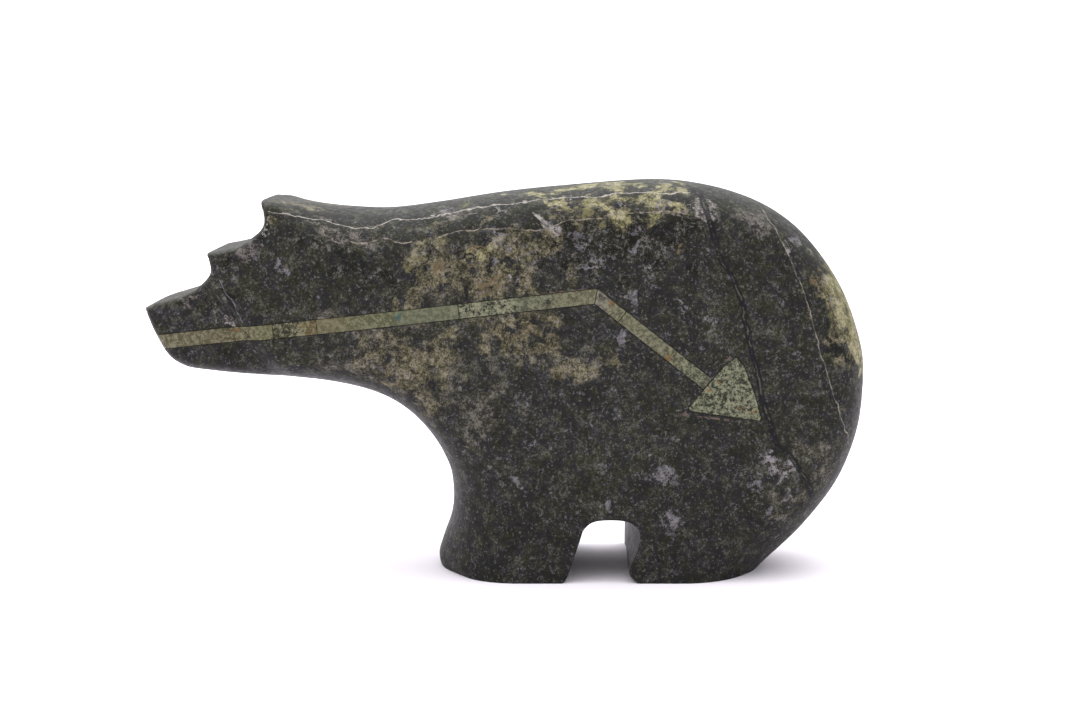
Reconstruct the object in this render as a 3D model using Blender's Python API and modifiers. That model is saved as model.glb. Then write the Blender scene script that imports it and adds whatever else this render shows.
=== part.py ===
"""Serpentine bear carving: a flat-sided stone bear with a heartline arrow inlaid in its near side.

Metres, +Z up. The bear looks towards -X, its inlaid side faces -Y, and the origin is on the floor
under the middle of the carving.
"""

import math

import bmesh
import bpy
import numpy as np
from mathutils import Vector
from mathutils.geometry import delaunay_2d_cdt

# Driving dimensions of the body
BODY_LENGTH = 0.187
BODY_THICKNESS = 0.048
MUZZLE_THICKNESS = 0.034
BACK_ROUND = 0.011
NECK_ROUND = 0.0135
CHEST_ROUND = 0.011
LEG_ROUND = 0.015
FOOT_ROUND = 0.020
CHIN_ROUND = 0.005
NOSE_ROUND = 0.003
EAR_ROUND = 0.003
EDGE_ROUND = 0.0015

# Driving dimensions of the inlay
STRIP_WIDTH = 0.0037
LOWER_STRIP_WIDTH = 0.0034
CHANNEL_DEPTH = 0.003
POCKET_DEPTH = 0.0035
CLEARANCE = 0.0003

# An edge's section is square-shouldered where its rounding is tight and full where it is wide
FULL_SECTION = 1.2
SHOULDER_LENGTH = 0.0145

# Fineness of the surface
OUTLINE_STEP = 0.0028
SIDE_GRID = 0.005
ROUND_RINGS = 6
LEAST_OFFSET = 0.00004
SAME_OFFSET = 0.97
ROOM_ON_RINGS = 0.5
ROOM_AT_EDGE = 0.6
ROOM_ON_GRID = 0.6
ROOM_BESIDE_CUTS = 0.0004
SAME_POINT = 1e-7
MERGE_WITHIN = 1e-5

# The outline is drawn in hundredths of the body's length, x along it and z above the floor
HUNDREDTH = BODY_LENGTH / 100.0

# Each point of a stretch is (x, z, width of the rounding there); stretches meet at corners
MUZZLE_TOP = [
    (-50.0, 37.5, EDGE_ROUND),
    (-48.2, 38.2, EDGE_ROUND),
    (-46.2, 38.8, EDGE_ROUND),
    (-44.0, 39.5, EDGE_ROUND),
    (-42.7, 40.2, EDGE_ROUND),
    (-41.3, 41.3, EDGE_ROUND),
]
BROW_FRONT = [
    (-41.3, 41.3, EDGE_ROUND),
    (-40.4, 42.4, EDGE_ROUND),
    (-40.3, 43.5, EDGE_ROUND),
    (-40.8, 45.3, EDGE_ROUND),
]
BROW_TOP = [
    (-40.8, 45.3, EDGE_ROUND),
    (-38.1, 45.8, EDGE_ROUND),
    (-36.5, 46.25, EDGE_ROUND),
    (-34.7, 47.2, EDGE_ROUND),
]
EAR_FRONT = [
    (-34.7, 47.2, EDGE_ROUND),
    (-33.2, 48.6, EDGE_ROUND),
    (-32.8, 50.0, EDGE_ROUND),
    (-33.3, 52.5, EDGE_ROUND),
]
BACK = [
    (-33.3, 52.5, EAR_ROUND),
    (-31.0, 52.3, EAR_ROUND),
    (-28.5, 51.9, 0.5 * (EAR_ROUND + BACK_ROUND)),
    (-25.5, 51.5, BACK_ROUND),
    (-21.0, 51.1, NECK_ROUND),
    (-16.0, 51.0, NECK_ROUND),
    (-9.4, 51.8, NECK_ROUND),
    (-1.0, 53.1, BACK_ROUND),
    (7.4, 54.0, BACK_ROUND),
    (20.0, 54.9, BACK_ROUND),
    (27.7, 54.2, BACK_ROUND),
    (34.4, 52.2, BACK_ROUND),
    (39.6, 49.1, BACK_ROUND),
    (43.9, 44.5, BACK_ROUND),
    (47.3, 38.9, BACK_ROUND),
    (49.6, 32.1, BACK_ROUND),
    (50.0, 27.0, BACK_ROUND),
    (49.2, 20.0, BACK_ROUND),
    (46.7, 12.7, LEG_ROUND),
    (41.7, 6.0, LEG_ROUND),
    (36.4, 0.5, FOOT_ROUND),
    (35.2, -1.0, FOOT_ROUND),
]
BELOW_SOLES = [
    (35.2, -1.0, EDGE_ROUND),
    (-9.2, -1.0, EDGE_ROUND),
]
FRONT = [
    (-9.2, -1.0, FOOT_ROUND),
    (-9.8, 1.5, FOOT_ROUND),
    (-9.1, 4.2, FOOT_ROUND),
    (-7.9, 7.8, LEG_ROUND),
    (-7.7, 11.4, LEG_ROUND),
    (-8.4, 15.0, LEG_ROUND),
    (-10.9, 19.7, CHEST_ROUND),
    (-14.6, 23.3, CHEST_ROUND),
    (-19.3, 25.6, CHEST_ROUND),
    (-26.2, 27.0, CHEST_ROUND),
    (-34.2, 27.9, CHIN_ROUND),
    (-42.2, 28.6, CHIN_ROUND),
    (-44.9, 29.2, CHIN_ROUND),
    (-46.8, 30.9, NOSE_ROUND),
    (-48.7, 34.2, NOSE_ROUND),
    (-50.0, 37.5, NOSE_ROUND),
]
STRETCHES = (MUZZLE_TOP, BROW_FRONT, BROW_TOP, EAR_FRONT, BACK, BELOW_SOLES, FRONT)

# How far each corner between two stretches is cut back before it is rounded, in hundredths
CORNER_CUTS = (0.9, 0.35, 1.1, 0.25, 0.3, 0.3, 0.4)

# The head thins from the shoulder to the brow, and the muzzle is a little thinner again
SHOULDER_X = -20.0 * HUNDREDTH
BROW_X = -42.0 * HUNDREDTH
BROW_SHARE = 0.45
MUZZLE_EDGE_START = (-41.0 * HUNDREDTH, 41.0 * HUNDREDTH)
MUZZLE_EDGE_END = (-35.5 * HUNDREDTH, 34.5 * HUNDREDTH)
MUZZLE_EDGE_WIDTH = 3.0 * HUNDREDTH

# The gap between the feet, in hundredths, from the floor up the front foot and down the hind foot
GAP = [
    (7.7, 0.0),
    (8.4, 1.0),
    (10.1, 6.0),
    (10.7, 7.6),
    (12.3, 8.7),
    (15.7, 8.8),
    (17.5, 8.2),
    (18.4, 6.8),
    (17.9, 4.4),
    (17.1, 2.5),
    (16.9, 1.4),
    (17.6, 0.4),
    (18.4, 0.0),
]
GAP_HIND_WALL = 16.5
GAP_FAR_HIND_WALL = 17.3
BELOW_FLOOR = -4.0

# The heartline's centre line, in hundredths: mouth, bend and middle of the arrowhead's base
MOUTH = (-52.0, 32.5)
BEND = (12.2, 39.7)
ARROW_BASE = (27.4, 27.7)
ARROWHEAD = [
    (31.2, 31.4),
    (32.2, 30.3),
    (33.7, 26.5),
    (34.7, 23.2),
    (34.5, 22.7),
    (25.2, 24.0),
    (24.8, 24.4),
    (29.6, 30.2),
]

# Joints of the strip, as places along the straight line from mouth to bend and from bend to arrowhead
UPPER_JOINTS = (0.318, 0.411, 0.711)
LOWER_JOINT = 0.233
INTO_POCKET = 1.1

STONE = ((0.028, 0.030, 0.018, 1.0), 0.34)
OCHRE = ((0.235, 0.205, 0.088, 1.0), 0.42)
OLIVE = ((0.130, 0.140, 0.058, 1.0), 0.42)
GREY_GREEN = ((0.150, 0.170, 0.080, 1.0), 0.42)
LIGHT_GREEN = ((0.200, 0.225, 0.105, 1.0), 0.42)


def clear_scene():
    for obj in list(bpy.data.objects):
        bpy.data.objects.remove(obj)


def new_collection(name):
    collection = bpy.data.collections.new(name)
    bpy.context.scene.collection.children.link(collection)
    return collection


def stone_material(name, finish):
    colour, roughness = finish
    material = bpy.data.materials.new(name)
    material.use_nodes = True
    shader = material.node_tree.nodes["Principled BSDF"]
    shader.inputs["Base Color"].default_value = colour
    shader.inputs["Roughness"].default_value = roughness
    shader.inputs["Metallic"].default_value = 0.0
    return material


def new_object(name, mesh, collection):
    obj = bpy.data.objects.new(name, mesh)
    collection.objects.link(obj)
    return obj


def hide_as_cutter(obj):
    obj.hide_render = True
    obj.display_type = "WIRE"


def boolean(obj, other, operation):
    modifier = obj.modifiers.new(operation.lower() + "_" + other.name, "BOOLEAN")
    modifier.operation = operation
    modifier.solver = "EXACT"
    modifier.object = other


def smooth_curve(points, step):
    """Points every step or so along the Catmull-Rom curve through the given ones."""
    points = np.array(points, float)
    ends = np.vstack([2 * points[0] - points[1], points, 2 * points[-1] - points[-2]])
    curve = []
    for i in range(1, len(ends) - 2):
        before, start, end, after = ends[i - 1 : i + 3]
        count = max(1, math.ceil(np.linalg.norm((end - start)[:2]) / step))
        for t in np.arange(count) / count:
            curve.append(
                0.5
                * (
                    2 * start
                    + (end - before) * t
                    + (2 * before - 5 * start + 4 * end - after) * t**2
                    + (3 * start - before - 3 * end + after) * t**3
                )
            )
    curve.append(points[-1])
    return np.array(curve)


def cut_back(curve, start_cut, end_cut):
    """The curve without the given lengths at its two ends."""
    lengths = np.concatenate([[0], np.cumsum(np.linalg.norm(np.diff(curve[:, :2], axis=0), axis=1))])
    kept = [start_cut] + [s for s in lengths if start_cut < s < lengths[-1] - end_cut]
    kept.append(lengths[-1] - end_cut)
    return np.column_stack([np.interp(kept, lengths, curve[:, i]) for i in range(3)])


def rounded_corner(before, corner, after, samples):
    """Points of the arc-like curve that rounds a corner, its ends left out."""
    ts = np.arange(1, samples) / samples
    return [(1 - t) ** 2 * before + 2 * t * (1 - t) * corner + t**2 * after for t in ts]


def outline_stretches(step, corner_samples=4):
    """Each stretch as rows of (x, z, rounding), with the corners shared half and half."""
    scale = np.array([HUNDREDTH, HUNDREDTH, 1.0])
    curves = [smooth_curve(np.array(stretch) * scale, step) for stretch in STRETCHES]
    cuts = [cut * HUNDREDTH for cut in CORNER_CUTS]
    count = len(curves)
    trimmed = [cut_back(curves[i], cuts[i - 1], cuts[i]) for i in range(count)]
    corners = []
    for i in range(count):
        first = trimmed[i][-1]
        second = trimmed[(i + 1) % count][0]
        corner = np.append(curves[i][-1][:2], 0.5 * (first[2] + second[2]))
        corners.append(rounded_corner(first, corner, second, corner_samples))
    half = corner_samples // 2
    stretches = []
    for i in range(count):
        lead = corners[i - 1][half - 1 :]
        tail = corners[i][:half]
        rows = [np.append(row[:2], trimmed[i][0][2]) for row in lead]
        rows += list(trimmed[i])
        rows += [np.append(row[:2], trimmed[i][-1][2]) for row in tail]
        stretches.append(np.array(rows))
    return stretches


def nearest_on(points, stretch):
    """Distance from each point to the stretch, and the rounding at the nearest place on it."""
    start = stretch[:-1, None, :2]
    along = stretch[1:, None, :2] - start
    t = ((points[None] - start) * along).sum(-1) / (along**2).sum(-1)
    t = np.clip(t, 0, 1)
    distance = np.linalg.norm(points[None] - start - t[..., None] * along, axis=-1)
    best = distance.argmin(axis=0)
    column = np.arange(len(points))
    share = t[best, column]
    rounding = stretch[best, 2] * (1 - share) + stretch[best + 1, 2] * share
    return distance[best, column], rounding


def squareness(rounding):
    """Exponent of the edge's section."""
    return FULL_SECTION + SHOULDER_LENGTH / rounding


def side_depth(points):
    """Half thickness of the flat side at each (x, z), before its edges are rounded."""
    x = points[:, 0]
    head = np.clip((SHOULDER_X - x) / (SHOULDER_X - BROW_X), 0, 1)
    start = np.array(MUZZLE_EDGE_START)
    along = np.array(MUZZLE_EDGE_END) - start
    across = np.array([-along[1], along[0]]) / np.linalg.norm(along)
    ahead = (start - points) @ -across
    muzzle = np.clip(0.5 - ahead / MUZZLE_EDGE_WIDTH, 0, 1)
    muzzle = muzzle * muzzle * (3 - 2 * muzzle)
    narrowing = 0.5 * (BODY_THICKNESS - MUZZLE_THICKNESS)
    return 0.5 * BODY_THICKNESS - narrowing * (BROW_SHARE * head + (1 - BROW_SHARE) * muzzle)


def surface_depth(points, stretches):
    """Half thickness of the body at each (x, z), with every edge rounded."""
    depth = side_depth(points)
    share = np.ones(len(points))
    for stretch in stretches:
        distance, rounding = nearest_on(points, stretch)
        t = np.clip(distance / rounding, 0, 1)
        share = np.minimum(share, (1 - (1 - t) ** 2) ** (1 / squareness(rounding)))
    return depth * share


def inside(points, loop):
    """Which points lie inside the closed loop."""
    x, z = points[:, 0, None], points[:, 1, None]
    a = loop[None]
    b = np.roll(loop, -1, axis=0)[None]
    spans = (a[..., 1] > z) != (b[..., 1] > z)
    rise = np.where(spans, b[..., 1] - a[..., 1], 1)
    crossing = a[..., 0] + (z - a[..., 1]) * (b[..., 0] - a[..., 0]) / rise
    return (spans & (x < crossing)).sum(axis=1) % 2 == 1


def ring_points(stretch, rings):
    """Points inward from each point of a stretch, spaced as the rounding turns."""
    tangent = np.gradient(stretch[:, :2], axis=0)
    inward = np.column_stack([tangent[:, 1], -tangent[:, 0]])
    inward /= np.linalg.norm(inward, axis=1)[:, None]
    found = []
    for ring in range(1, rings + 1):
        offset = stretch[:, 2] * (1 - math.cos(0.5 * math.pi * ring / rings))
        moved = stretch[:, :2] + inward * offset[:, None]
        distance, _ = nearest_on(moved, stretch)
        found.append(moved[distance > SAME_OFFSET * offset])
    return np.vstack(found)


def grid_points(loop, spacing):
    """A triangular grid over the loop's box."""
    low, high = loop.min(axis=0), loop.max(axis=0)
    rows = []
    row_height = spacing * math.sqrt(0.75)
    for i, z in enumerate(np.arange(low[1], high[1], row_height)):
        xs = np.arange(low[0] + 0.5 * spacing * (i % 2), high[0], spacing)
        rows.append(np.column_stack([xs, np.full(len(xs), z)]))
    return np.vstack(rows)


def thinned(candidates, kept, least):
    """Candidates added one by one where no kept point is nearer than their least distance."""
    kept = list(kept)
    for point, room in zip(candidates, least):
        gaps = np.linalg.norm(np.array(kept) - point, axis=1)
        if gaps.min() > room:
            kept.append(point)
    return np.array(kept)


def meet(point, direction, line_point, line_direction):
    """Where the line through point along direction meets another line."""
    matrix = np.column_stack([direction, -line_direction])
    t, _ = np.linalg.solve(matrix, line_point - point)
    return point + t * direction


def strip_legs(grow):
    """The heartline's two straight legs, each as its start, unit direction, length and half width."""
    mouth, bend, base = (np.array(point) * HUNDREDTH for point in (MOUTH, BEND, ARROW_BASE))
    legs = []
    for start, end, width in ((mouth, bend, STRIP_WIDTH), (bend, base, LOWER_STRIP_WIDTH)):
        length = np.linalg.norm(end - start)
        legs.append((start, (end - start) / length, length, 0.5 * width + grow))
    return legs


def turned(direction):
    return np.array([-direction[1], direction[0]])


def mitre_corner(legs, side):
    """Where an edge of the first leg meets the same edge of the second."""
    lines = [(start + side * half * turned(way), way) for start, way, _, half in legs]
    return meet(*lines[0], *lines[1])


def offset_loop(loop, distance):
    """A convex clockwise or anticlockwise loop grown by a distance, or shrunk by a negative one."""
    loop = np.array(loop)
    centre = loop.mean(axis=0)
    lines = []
    for a, b in zip(loop, np.roll(loop, -1, axis=0)):
        direction = (b - a) / np.linalg.norm(b - a)
        normal = np.array([direction[1], -direction[0]])
        if normal @ (a - centre) < 0:
            normal = -normal
        lines.append((a + normal * distance, direction))
    return np.array([meet(*lines[i - 1], *lines[i]) for i in range(len(loop))])


def feet_outlines():
    """What is cut away below the soles and between the feet, at the near side and at the far side.

    The gap's hind wall is hooked at the near side and runs straight up at the far side.
    """
    arch = smooth_curve([(x * HUNDREDTH, z * HUNDREDTH, 0) for x, z in GAP], OUTLINE_STEP)[:, :2]
    left, right, low = -BODY_LENGTH, BODY_LENGTH, BELOW_FLOOR * HUNDREDTH
    near = np.vstack([(left, 0), arch, (right, 0), (right, low), (left, low)])
    hind_wall = (near[:, 0] > GAP_HIND_WALL * HUNDREDTH) & (near[:, 0] < right)
    far = near.copy()
    far[hind_wall, 0] = GAP_FAR_HIND_WALL * HUNDREDTH
    return near, far


def channel_edges():
    """The channel's upper and lower edge, each from before the mouth through the bend to the pocket."""
    legs = strip_legs(CLEARANCE)
    edges = []
    for side in (1, -1):
        first, last = [start + side * half * turned(way) for start, way, _, half in legs]
        end = last + legs[1][1] * legs[1][2]
        edges.append(np.array([first, mitre_corner(legs, side), end]))
    return edges


def cut_outlines():
    """Every line along which a cutter meets the sides of the body, as rows of (x, z, 0)."""
    pocket = offset_loop(np.array(ARROWHEAD) * HUNDREDTH, CLEARANCE)
    lines = channel_edges() + [np.vstack([pocket, pocket[:1]])] + list(feet_outlines())
    return [np.column_stack([line, np.zeros(len(line))]) for line in lines]


def clear_of(points, outlines):
    """The points that aren't right beside the outline of a cut, where slivers would form."""
    distance = np.min([nearest_on(points, outline)[0] for outline in outlines], axis=0)
    return points[distance > ROOM_BESIDE_CUTS]


def body_half_mesh(name, step, rings, grid):
    """The near half of the body, open at the middle plane."""
    stretches = outline_stretches(step)
    loop = np.vstack([stretch[:-1, :2] for stretch in stretches])
    ringed = np.vstack([ring_points(stretch, rings) for stretch in stretches])
    ringed = ringed[inside(ringed, loop)]
    gridded = grid_points(loop, grid)
    gridded = gridded[inside(gridded, loop)]
    edge_distance = np.min([nearest_on(ringed, stretch)[0] for stretch in stretches], axis=0)
    clear = edge_distance > LEAST_OFFSET
    room = np.minimum(ROOM_ON_RINGS * step, ROOM_AT_EDGE * edge_distance[clear])
    points = thinned(ringed[clear], loop, room)
    points = thinned(gridded, points, np.full(len(gridded), ROOM_ON_GRID * grid))
    rim_count = len(loop)
    points = np.vstack([points[:rim_count], clear_of(points[rim_count:], cut_outlines())])
    vectors = [Vector(point) for point in points]
    rim = list(range(rim_count))
    flat, _, triangles, *_ = delaunay_2d_cdt(vectors, [], [rim], 1, SAME_POINT)
    flat = np.array([tuple(point) for point in flat])
    depth = surface_depth(flat, stretches)
    depth[:rim_count] = 0.0
    mesh = bpy.data.meshes.new(name)
    mesh.from_pydata([(x, -y, z) for (x, z), y in zip(flat, depth)], [], triangles)
    mesh.validate()
    return mesh


def add_mirror(obj):
    modifier = obj.modifiers.new("far_half", "MIRROR")
    modifier.use_axis = (False, True, False)
    modifier.merge_threshold = MERGE_WITHIN


def prism(name, near_loop, far_loop, near_y, far_y, collection):
    """A closed solid between two loops of (x, z) at two depths."""
    made = bmesh.new()
    near = [made.verts.new((x, near_y, z)) for x, z in near_loop]
    far = [made.verts.new((x, far_y, z)) for x, z in far_loop]
    for i in range(len(near)):
        j = (i + 1) % len(near)
        made.faces.new((near[i], near[j], far[j], far[i]))
    made.faces.new(near)
    made.faces.new(far[::-1])
    bmesh.ops.recalc_face_normals(made, faces=made.faces)
    mesh = bpy.data.meshes.new(name)
    made.to_mesh(mesh)
    made.free()
    return new_object(name, mesh, collection)


def feet_cutter(collection):
    """What lies below the flat soles, with the gap between the feet."""
    near, far = feet_outlines()
    lean = 0.5 * (far - near)
    reach = BODY_THICKNESS
    cutter = prism("feet_cutter", near - lean, far + lean, -reach, reach, collection)
    cutter.modifiers.new("split_leaning_walls", "TRIANGULATE")
    return cutter


def leg_sections(leg, start_share, end_share, grow, depth, cut):
    """Sections of a leg between two shares of its length, from outside the body down to a floor.

    Share 1 of the first leg and share 0 of the second are the mitre at the bend.
    """
    legs = strip_legs(grow)
    start, direction, length, half = legs[leg]
    stations = np.linspace(0, length, math.ceil(length / SIDE_GRID) + 1)
    floors = depth - side_depth(start + direction * stations[:, None])
    sides = []
    for side in (1, -1):
        ends = []
        for share in (start_share, end_share):
            mitred = share == 1 - leg
            ends.append((mitre_corner(legs, side) - start) @ direction if mitred else share * length)
        sides.append((side, ends[0] + cut, ends[1] - cut))
    first = max(places[1] for places in sides)
    last = min(places[2] for places in sides)
    between = [s for s in stations if first < s < last]
    sections = []
    for i in range(len(between) + 2):
        section = []
        for side, side_start, side_end in sides:
            s = ([side_start] + between + [side_end])[i]
            place = start + direction * s + side * half * turned(direction)
            floor = np.interp(s, stations, floors)
            pair = [(place[0], -BODY_THICKNESS, place[1]), (place[0], floor, place[1])]
            section += pair if side == 1 else pair[::-1]
        sections.append(section)
    return sections


def lofted(name, sections, bends, collection):
    """A closed solid through sections of four corners, with straight walls from bend to bend."""
    made = bmesh.new()
    upper = [made.verts.new(section[1]) for section in sections]
    lower = [made.verts.new(section[2]) for section in sections]
    stops = [0] + bends + [len(sections) - 1]
    outer = {stop: [made.verts.new(sections[stop][i]) for i in (0, 3)] for stop in stops}
    for i in range(len(sections) - 1):
        made.faces.new((upper[i], upper[i + 1], lower[i + 1], lower[i]))
    for a, b in zip(stops, stops[1:]):
        made.faces.new([outer[a][0]] + upper[a : b + 1] + [outer[b][0]])
        made.faces.new([outer[a][1]] + lower[a : b + 1] + [outer[b][1]])
        made.faces.new(outer[a] + outer[b][::-1])
    for stop in (stops[0], stops[-1]):
        made.faces.new((outer[stop][0], upper[stop], lower[stop], outer[stop][1]))
    bmesh.ops.recalc_face_normals(made, faces=made.faces)
    mesh = bpy.data.meshes.new(name)
    made.to_mesh(mesh)
    made.free()
    return new_object(name, mesh, collection)


def channel_cutter(collection):
    """One groove for the whole strip, from before the mouth into the arrowhead's deeper pocket."""
    upper = leg_sections(0, 0, 1, CLEARANCE, CHANNEL_DEPTH, 0)
    lower = leg_sections(1, 0, INTO_POCKET, CLEARANCE, CHANNEL_DEPTH, 0)
    return lofted("channel_cutter", upper + lower[1:], [len(upper) - 1], collection)


def arrowhead_solid(name, grow, depth, collection):
    loop = offset_loop(np.array(ARROWHEAD) * HUNDREDTH, grow)
    floor = -0.5 * BODY_THICKNESS + depth
    return prism(name, loop, loop, -BODY_THICKNESS, floor, collection)


def build():
    clear_scene()
    parts = new_collection("serpentine_bear_carving")
    cutters = new_collection("cutters")
    base = bpy.data.objects.new("bear_carving_origin", None)
    parts.objects.link(base)

    half = body_half_mesh("bear_body", OUTLINE_STEP, ROUND_RINGS, SIDE_GRID)
    form = new_object("uncut_body_form", half.copy(), cutters)
    add_mirror(form)
    feet = feet_cutter(cutters)
    channel = channel_cutter(cutters)
    pocket = arrowhead_solid("arrowhead_pocket_cutter", CLEARANCE, POCKET_DEPTH, cutters)

    body = new_object("bear_body", half, parts)
    add_mirror(body)
    for cutter in (feet, channel, pocket):
        boolean(body, cutter, "DIFFERENCE")
    body.data.materials.append(stone_material("dark_green_serpentine", STONE))

    pieces = [
        ("inlay_muzzle_strip", 0, 0, UPPER_JOINTS[0], OCHRE),
        ("inlay_cheek_strip", 0, UPPER_JOINTS[0], UPPER_JOINTS[1], OCHRE),
        ("inlay_neck_strip", 0, UPPER_JOINTS[1], UPPER_JOINTS[2], OLIVE),
        ("inlay_shoulder_strip", 0, UPPER_JOINTS[2], 1, LIGHT_GREEN),
        ("inlay_bend_piece", 1, 0, LOWER_JOINT, GREY_GREEN),
        ("inlay_flank_strip", 1, LOWER_JOINT, 1, GREY_GREEN),
    ]
    made = []
    strip_depth = CHANNEL_DEPTH - CLEARANCE
    for name, leg, start, end, finish in pieces:
        sections = leg_sections(leg, start, end, 0, strip_depth, 0.5 * CLEARANCE)
        made.append((lofted(name, sections, [], parts), finish))
    head = arrowhead_solid("inlay_arrowhead", 0, POCKET_DEPTH - CLEARANCE, parts)
    made.append((head, LIGHT_GREEN))
    for piece, finish in made:
        boolean(piece, form, "INTERSECT")
        piece.data.materials.append(stone_material(piece.name + "_stone", finish))
    for obj in [body] + [piece for piece, _ in made]:
        obj.parent = base
    for obj in (form, feet, channel, pocket):
        hide_as_cutter(obj)


build()
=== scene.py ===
"""The looks of the serpentine bear carving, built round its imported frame.

Metres, +Z up. The bear looks towards -X and its inlaid side faces -Y, as in the frame.
"""

import math

import bmesh
import bpy
import numpy as np
from mathutils import Matrix, Vector
from mathutils.geometry import delaunay_2d_cdt


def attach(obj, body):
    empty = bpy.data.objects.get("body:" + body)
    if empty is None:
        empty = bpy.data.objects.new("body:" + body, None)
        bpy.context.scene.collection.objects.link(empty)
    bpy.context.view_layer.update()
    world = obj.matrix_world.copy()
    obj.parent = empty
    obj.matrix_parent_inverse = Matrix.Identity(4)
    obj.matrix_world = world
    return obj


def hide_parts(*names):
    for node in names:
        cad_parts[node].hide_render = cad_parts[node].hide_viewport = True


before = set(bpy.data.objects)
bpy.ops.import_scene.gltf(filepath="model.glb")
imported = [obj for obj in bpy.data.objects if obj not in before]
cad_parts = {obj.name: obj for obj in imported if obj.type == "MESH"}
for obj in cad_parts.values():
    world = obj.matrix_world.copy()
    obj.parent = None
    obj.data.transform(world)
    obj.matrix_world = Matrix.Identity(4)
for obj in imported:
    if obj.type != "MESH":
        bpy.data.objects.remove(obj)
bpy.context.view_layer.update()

# The body's driving sizes, as in the frame
BODY_LENGTH = 0.187
BODY_THICKNESS = 0.048
MUZZLE_THICKNESS = 0.034
BACK_ROUND = 0.011
NECK_ROUND = 0.0135
CHEST_ROUND = 0.011
LEG_ROUND = 0.015
FOOT_ROUND = 0.020
CHIN_ROUND = 0.005
NOSE_ROUND = 0.003
EAR_ROUND = 0.003
EDGE_ROUND = 0.0015
FULL_SECTION = 1.2
SHOULDER_LENGTH = 0.0145
HUNDREDTH = BODY_LENGTH / 100.0

# The inlay's driving sizes, and how tight its visible joints are
STRIP_WIDTH = 0.0037
LOWER_STRIP_WIDTH = 0.0034
CHANNEL_DEPTH = 0.003
POCKET_DEPTH = 0.0035
JOINT_GAP = 0.00013
UNDER_PIECE = 0.0003
PIECE_EDGE_ROUND = 0.00015
PIECE_RINGS = 3
PIECE_STEP = 0.0005
PIECE_GRID = 1.2
NOSE_REACH = 0.3
NOSE_STEP = 0.2

# Fineness of the body's surface
OUTLINE_STEP = 0.0009
ROUND_RINGS = 15
SIDE_GRID = 0.0013
LEAST_OFFSET = 0.00001
SAME_OFFSET = 0.97
ROOM_ON_RINGS = 0.5
ROOM_AT_EDGE = 0.6
ROOM_ON_GRID = 0.6
SAME_POINT = 1e-8
MERGE_WITHIN = 1e-6
SHARP_ABOVE = math.radians(40)

# The gap between the feet and the soles are cut with their edges just broken
EDGE_BREAK = 0.0004
BREAK_RINGS = 4
CUTTER_STATIONS = (-0.98, -0.9, -0.6, -0.3, 0, 0.3, 0.6, 0.9, 0.98)
WITHIN_BOX = 0.9999

# Each point of a stretch is (x, z, width of the rounding there), in hundredths of the length
MUZZLE_TOP = [
    (-50.0, 37.5, EDGE_ROUND),
    (-48.2, 38.2, EDGE_ROUND),
    (-46.2, 38.8, EDGE_ROUND),
    (-44.0, 39.5, EDGE_ROUND),
    (-42.7, 40.2, EDGE_ROUND),
    (-41.3, 41.3, EDGE_ROUND),
]
BROW_FRONT = [
    (-41.3, 41.3, EDGE_ROUND),
    (-40.4, 42.4, EDGE_ROUND),
    (-40.3, 43.5, EDGE_ROUND),
    (-40.8, 45.3, EDGE_ROUND),
]
BROW_TOP = [
    (-40.8, 45.3, EDGE_ROUND),
    (-38.1, 45.8, EDGE_ROUND),
    (-36.5, 46.25, EDGE_ROUND),
    (-34.7, 47.2, EDGE_ROUND),
]
EAR_FRONT = [
    (-34.7, 47.2, EDGE_ROUND),
    (-33.2, 48.6, EDGE_ROUND),
    (-32.8, 50.0, EDGE_ROUND),
    (-33.3, 52.5, EDGE_ROUND),
]
BACK = [
    (-33.3, 52.5, EAR_ROUND),
    (-31.0, 52.3, EAR_ROUND),
    (-28.5, 51.9, 0.5 * (EAR_ROUND + BACK_ROUND)),
    (-25.5, 51.5, BACK_ROUND),
    (-21.0, 51.1, NECK_ROUND),
    (-16.0, 51.0, NECK_ROUND),
    (-9.4, 51.8, NECK_ROUND),
    (-1.0, 53.1, BACK_ROUND),
    (7.4, 54.0, BACK_ROUND),
    (20.0, 54.9, BACK_ROUND),
    (27.7, 54.2, BACK_ROUND),
    (34.4, 52.2, BACK_ROUND),
    (39.6, 49.1, BACK_ROUND),
    (43.9, 44.5, BACK_ROUND),
    (47.3, 38.9, BACK_ROUND),
    (49.6, 32.1, BACK_ROUND),
    (50.0, 27.0, BACK_ROUND),
    (49.2, 20.0, BACK_ROUND),
    (46.7, 12.7, LEG_ROUND),
    (41.7, 6.0, LEG_ROUND),
    (36.4, 0.5, FOOT_ROUND),
    (35.2, -1.0, FOOT_ROUND),
]
BELOW_SOLES = [
    (35.2, -1.0, EDGE_ROUND),
    (-9.2, -1.0, EDGE_ROUND),
]
FRONT = [
    (-9.2, -1.0, FOOT_ROUND),
    (-9.8, 1.5, FOOT_ROUND),
    (-9.1, 4.2, FOOT_ROUND),
    (-7.9, 7.8, LEG_ROUND),
    (-7.7, 11.4, LEG_ROUND),
    (-8.4, 15.0, LEG_ROUND),
    (-10.9, 19.7, CHEST_ROUND),
    (-14.6, 23.3, CHEST_ROUND),
    (-19.3, 25.6, CHEST_ROUND),
    (-26.2, 27.0, CHEST_ROUND),
    (-34.2, 27.9, CHIN_ROUND),
    (-42.2, 28.6, CHIN_ROUND),
    (-44.9, 29.2, CHIN_ROUND),
    (-46.8, 30.9, NOSE_ROUND),
    (-48.7, 34.2, NOSE_ROUND),
    (-50.0, 37.5, NOSE_ROUND),
]
STRETCHES = (MUZZLE_TOP, BROW_FRONT, BROW_TOP, EAR_FRONT, BACK, BELOW_SOLES, FRONT)
CORNER_CUTS = (0.9, 0.35, 1.1, 0.25, 0.3, 0.3, 0.4)

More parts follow.
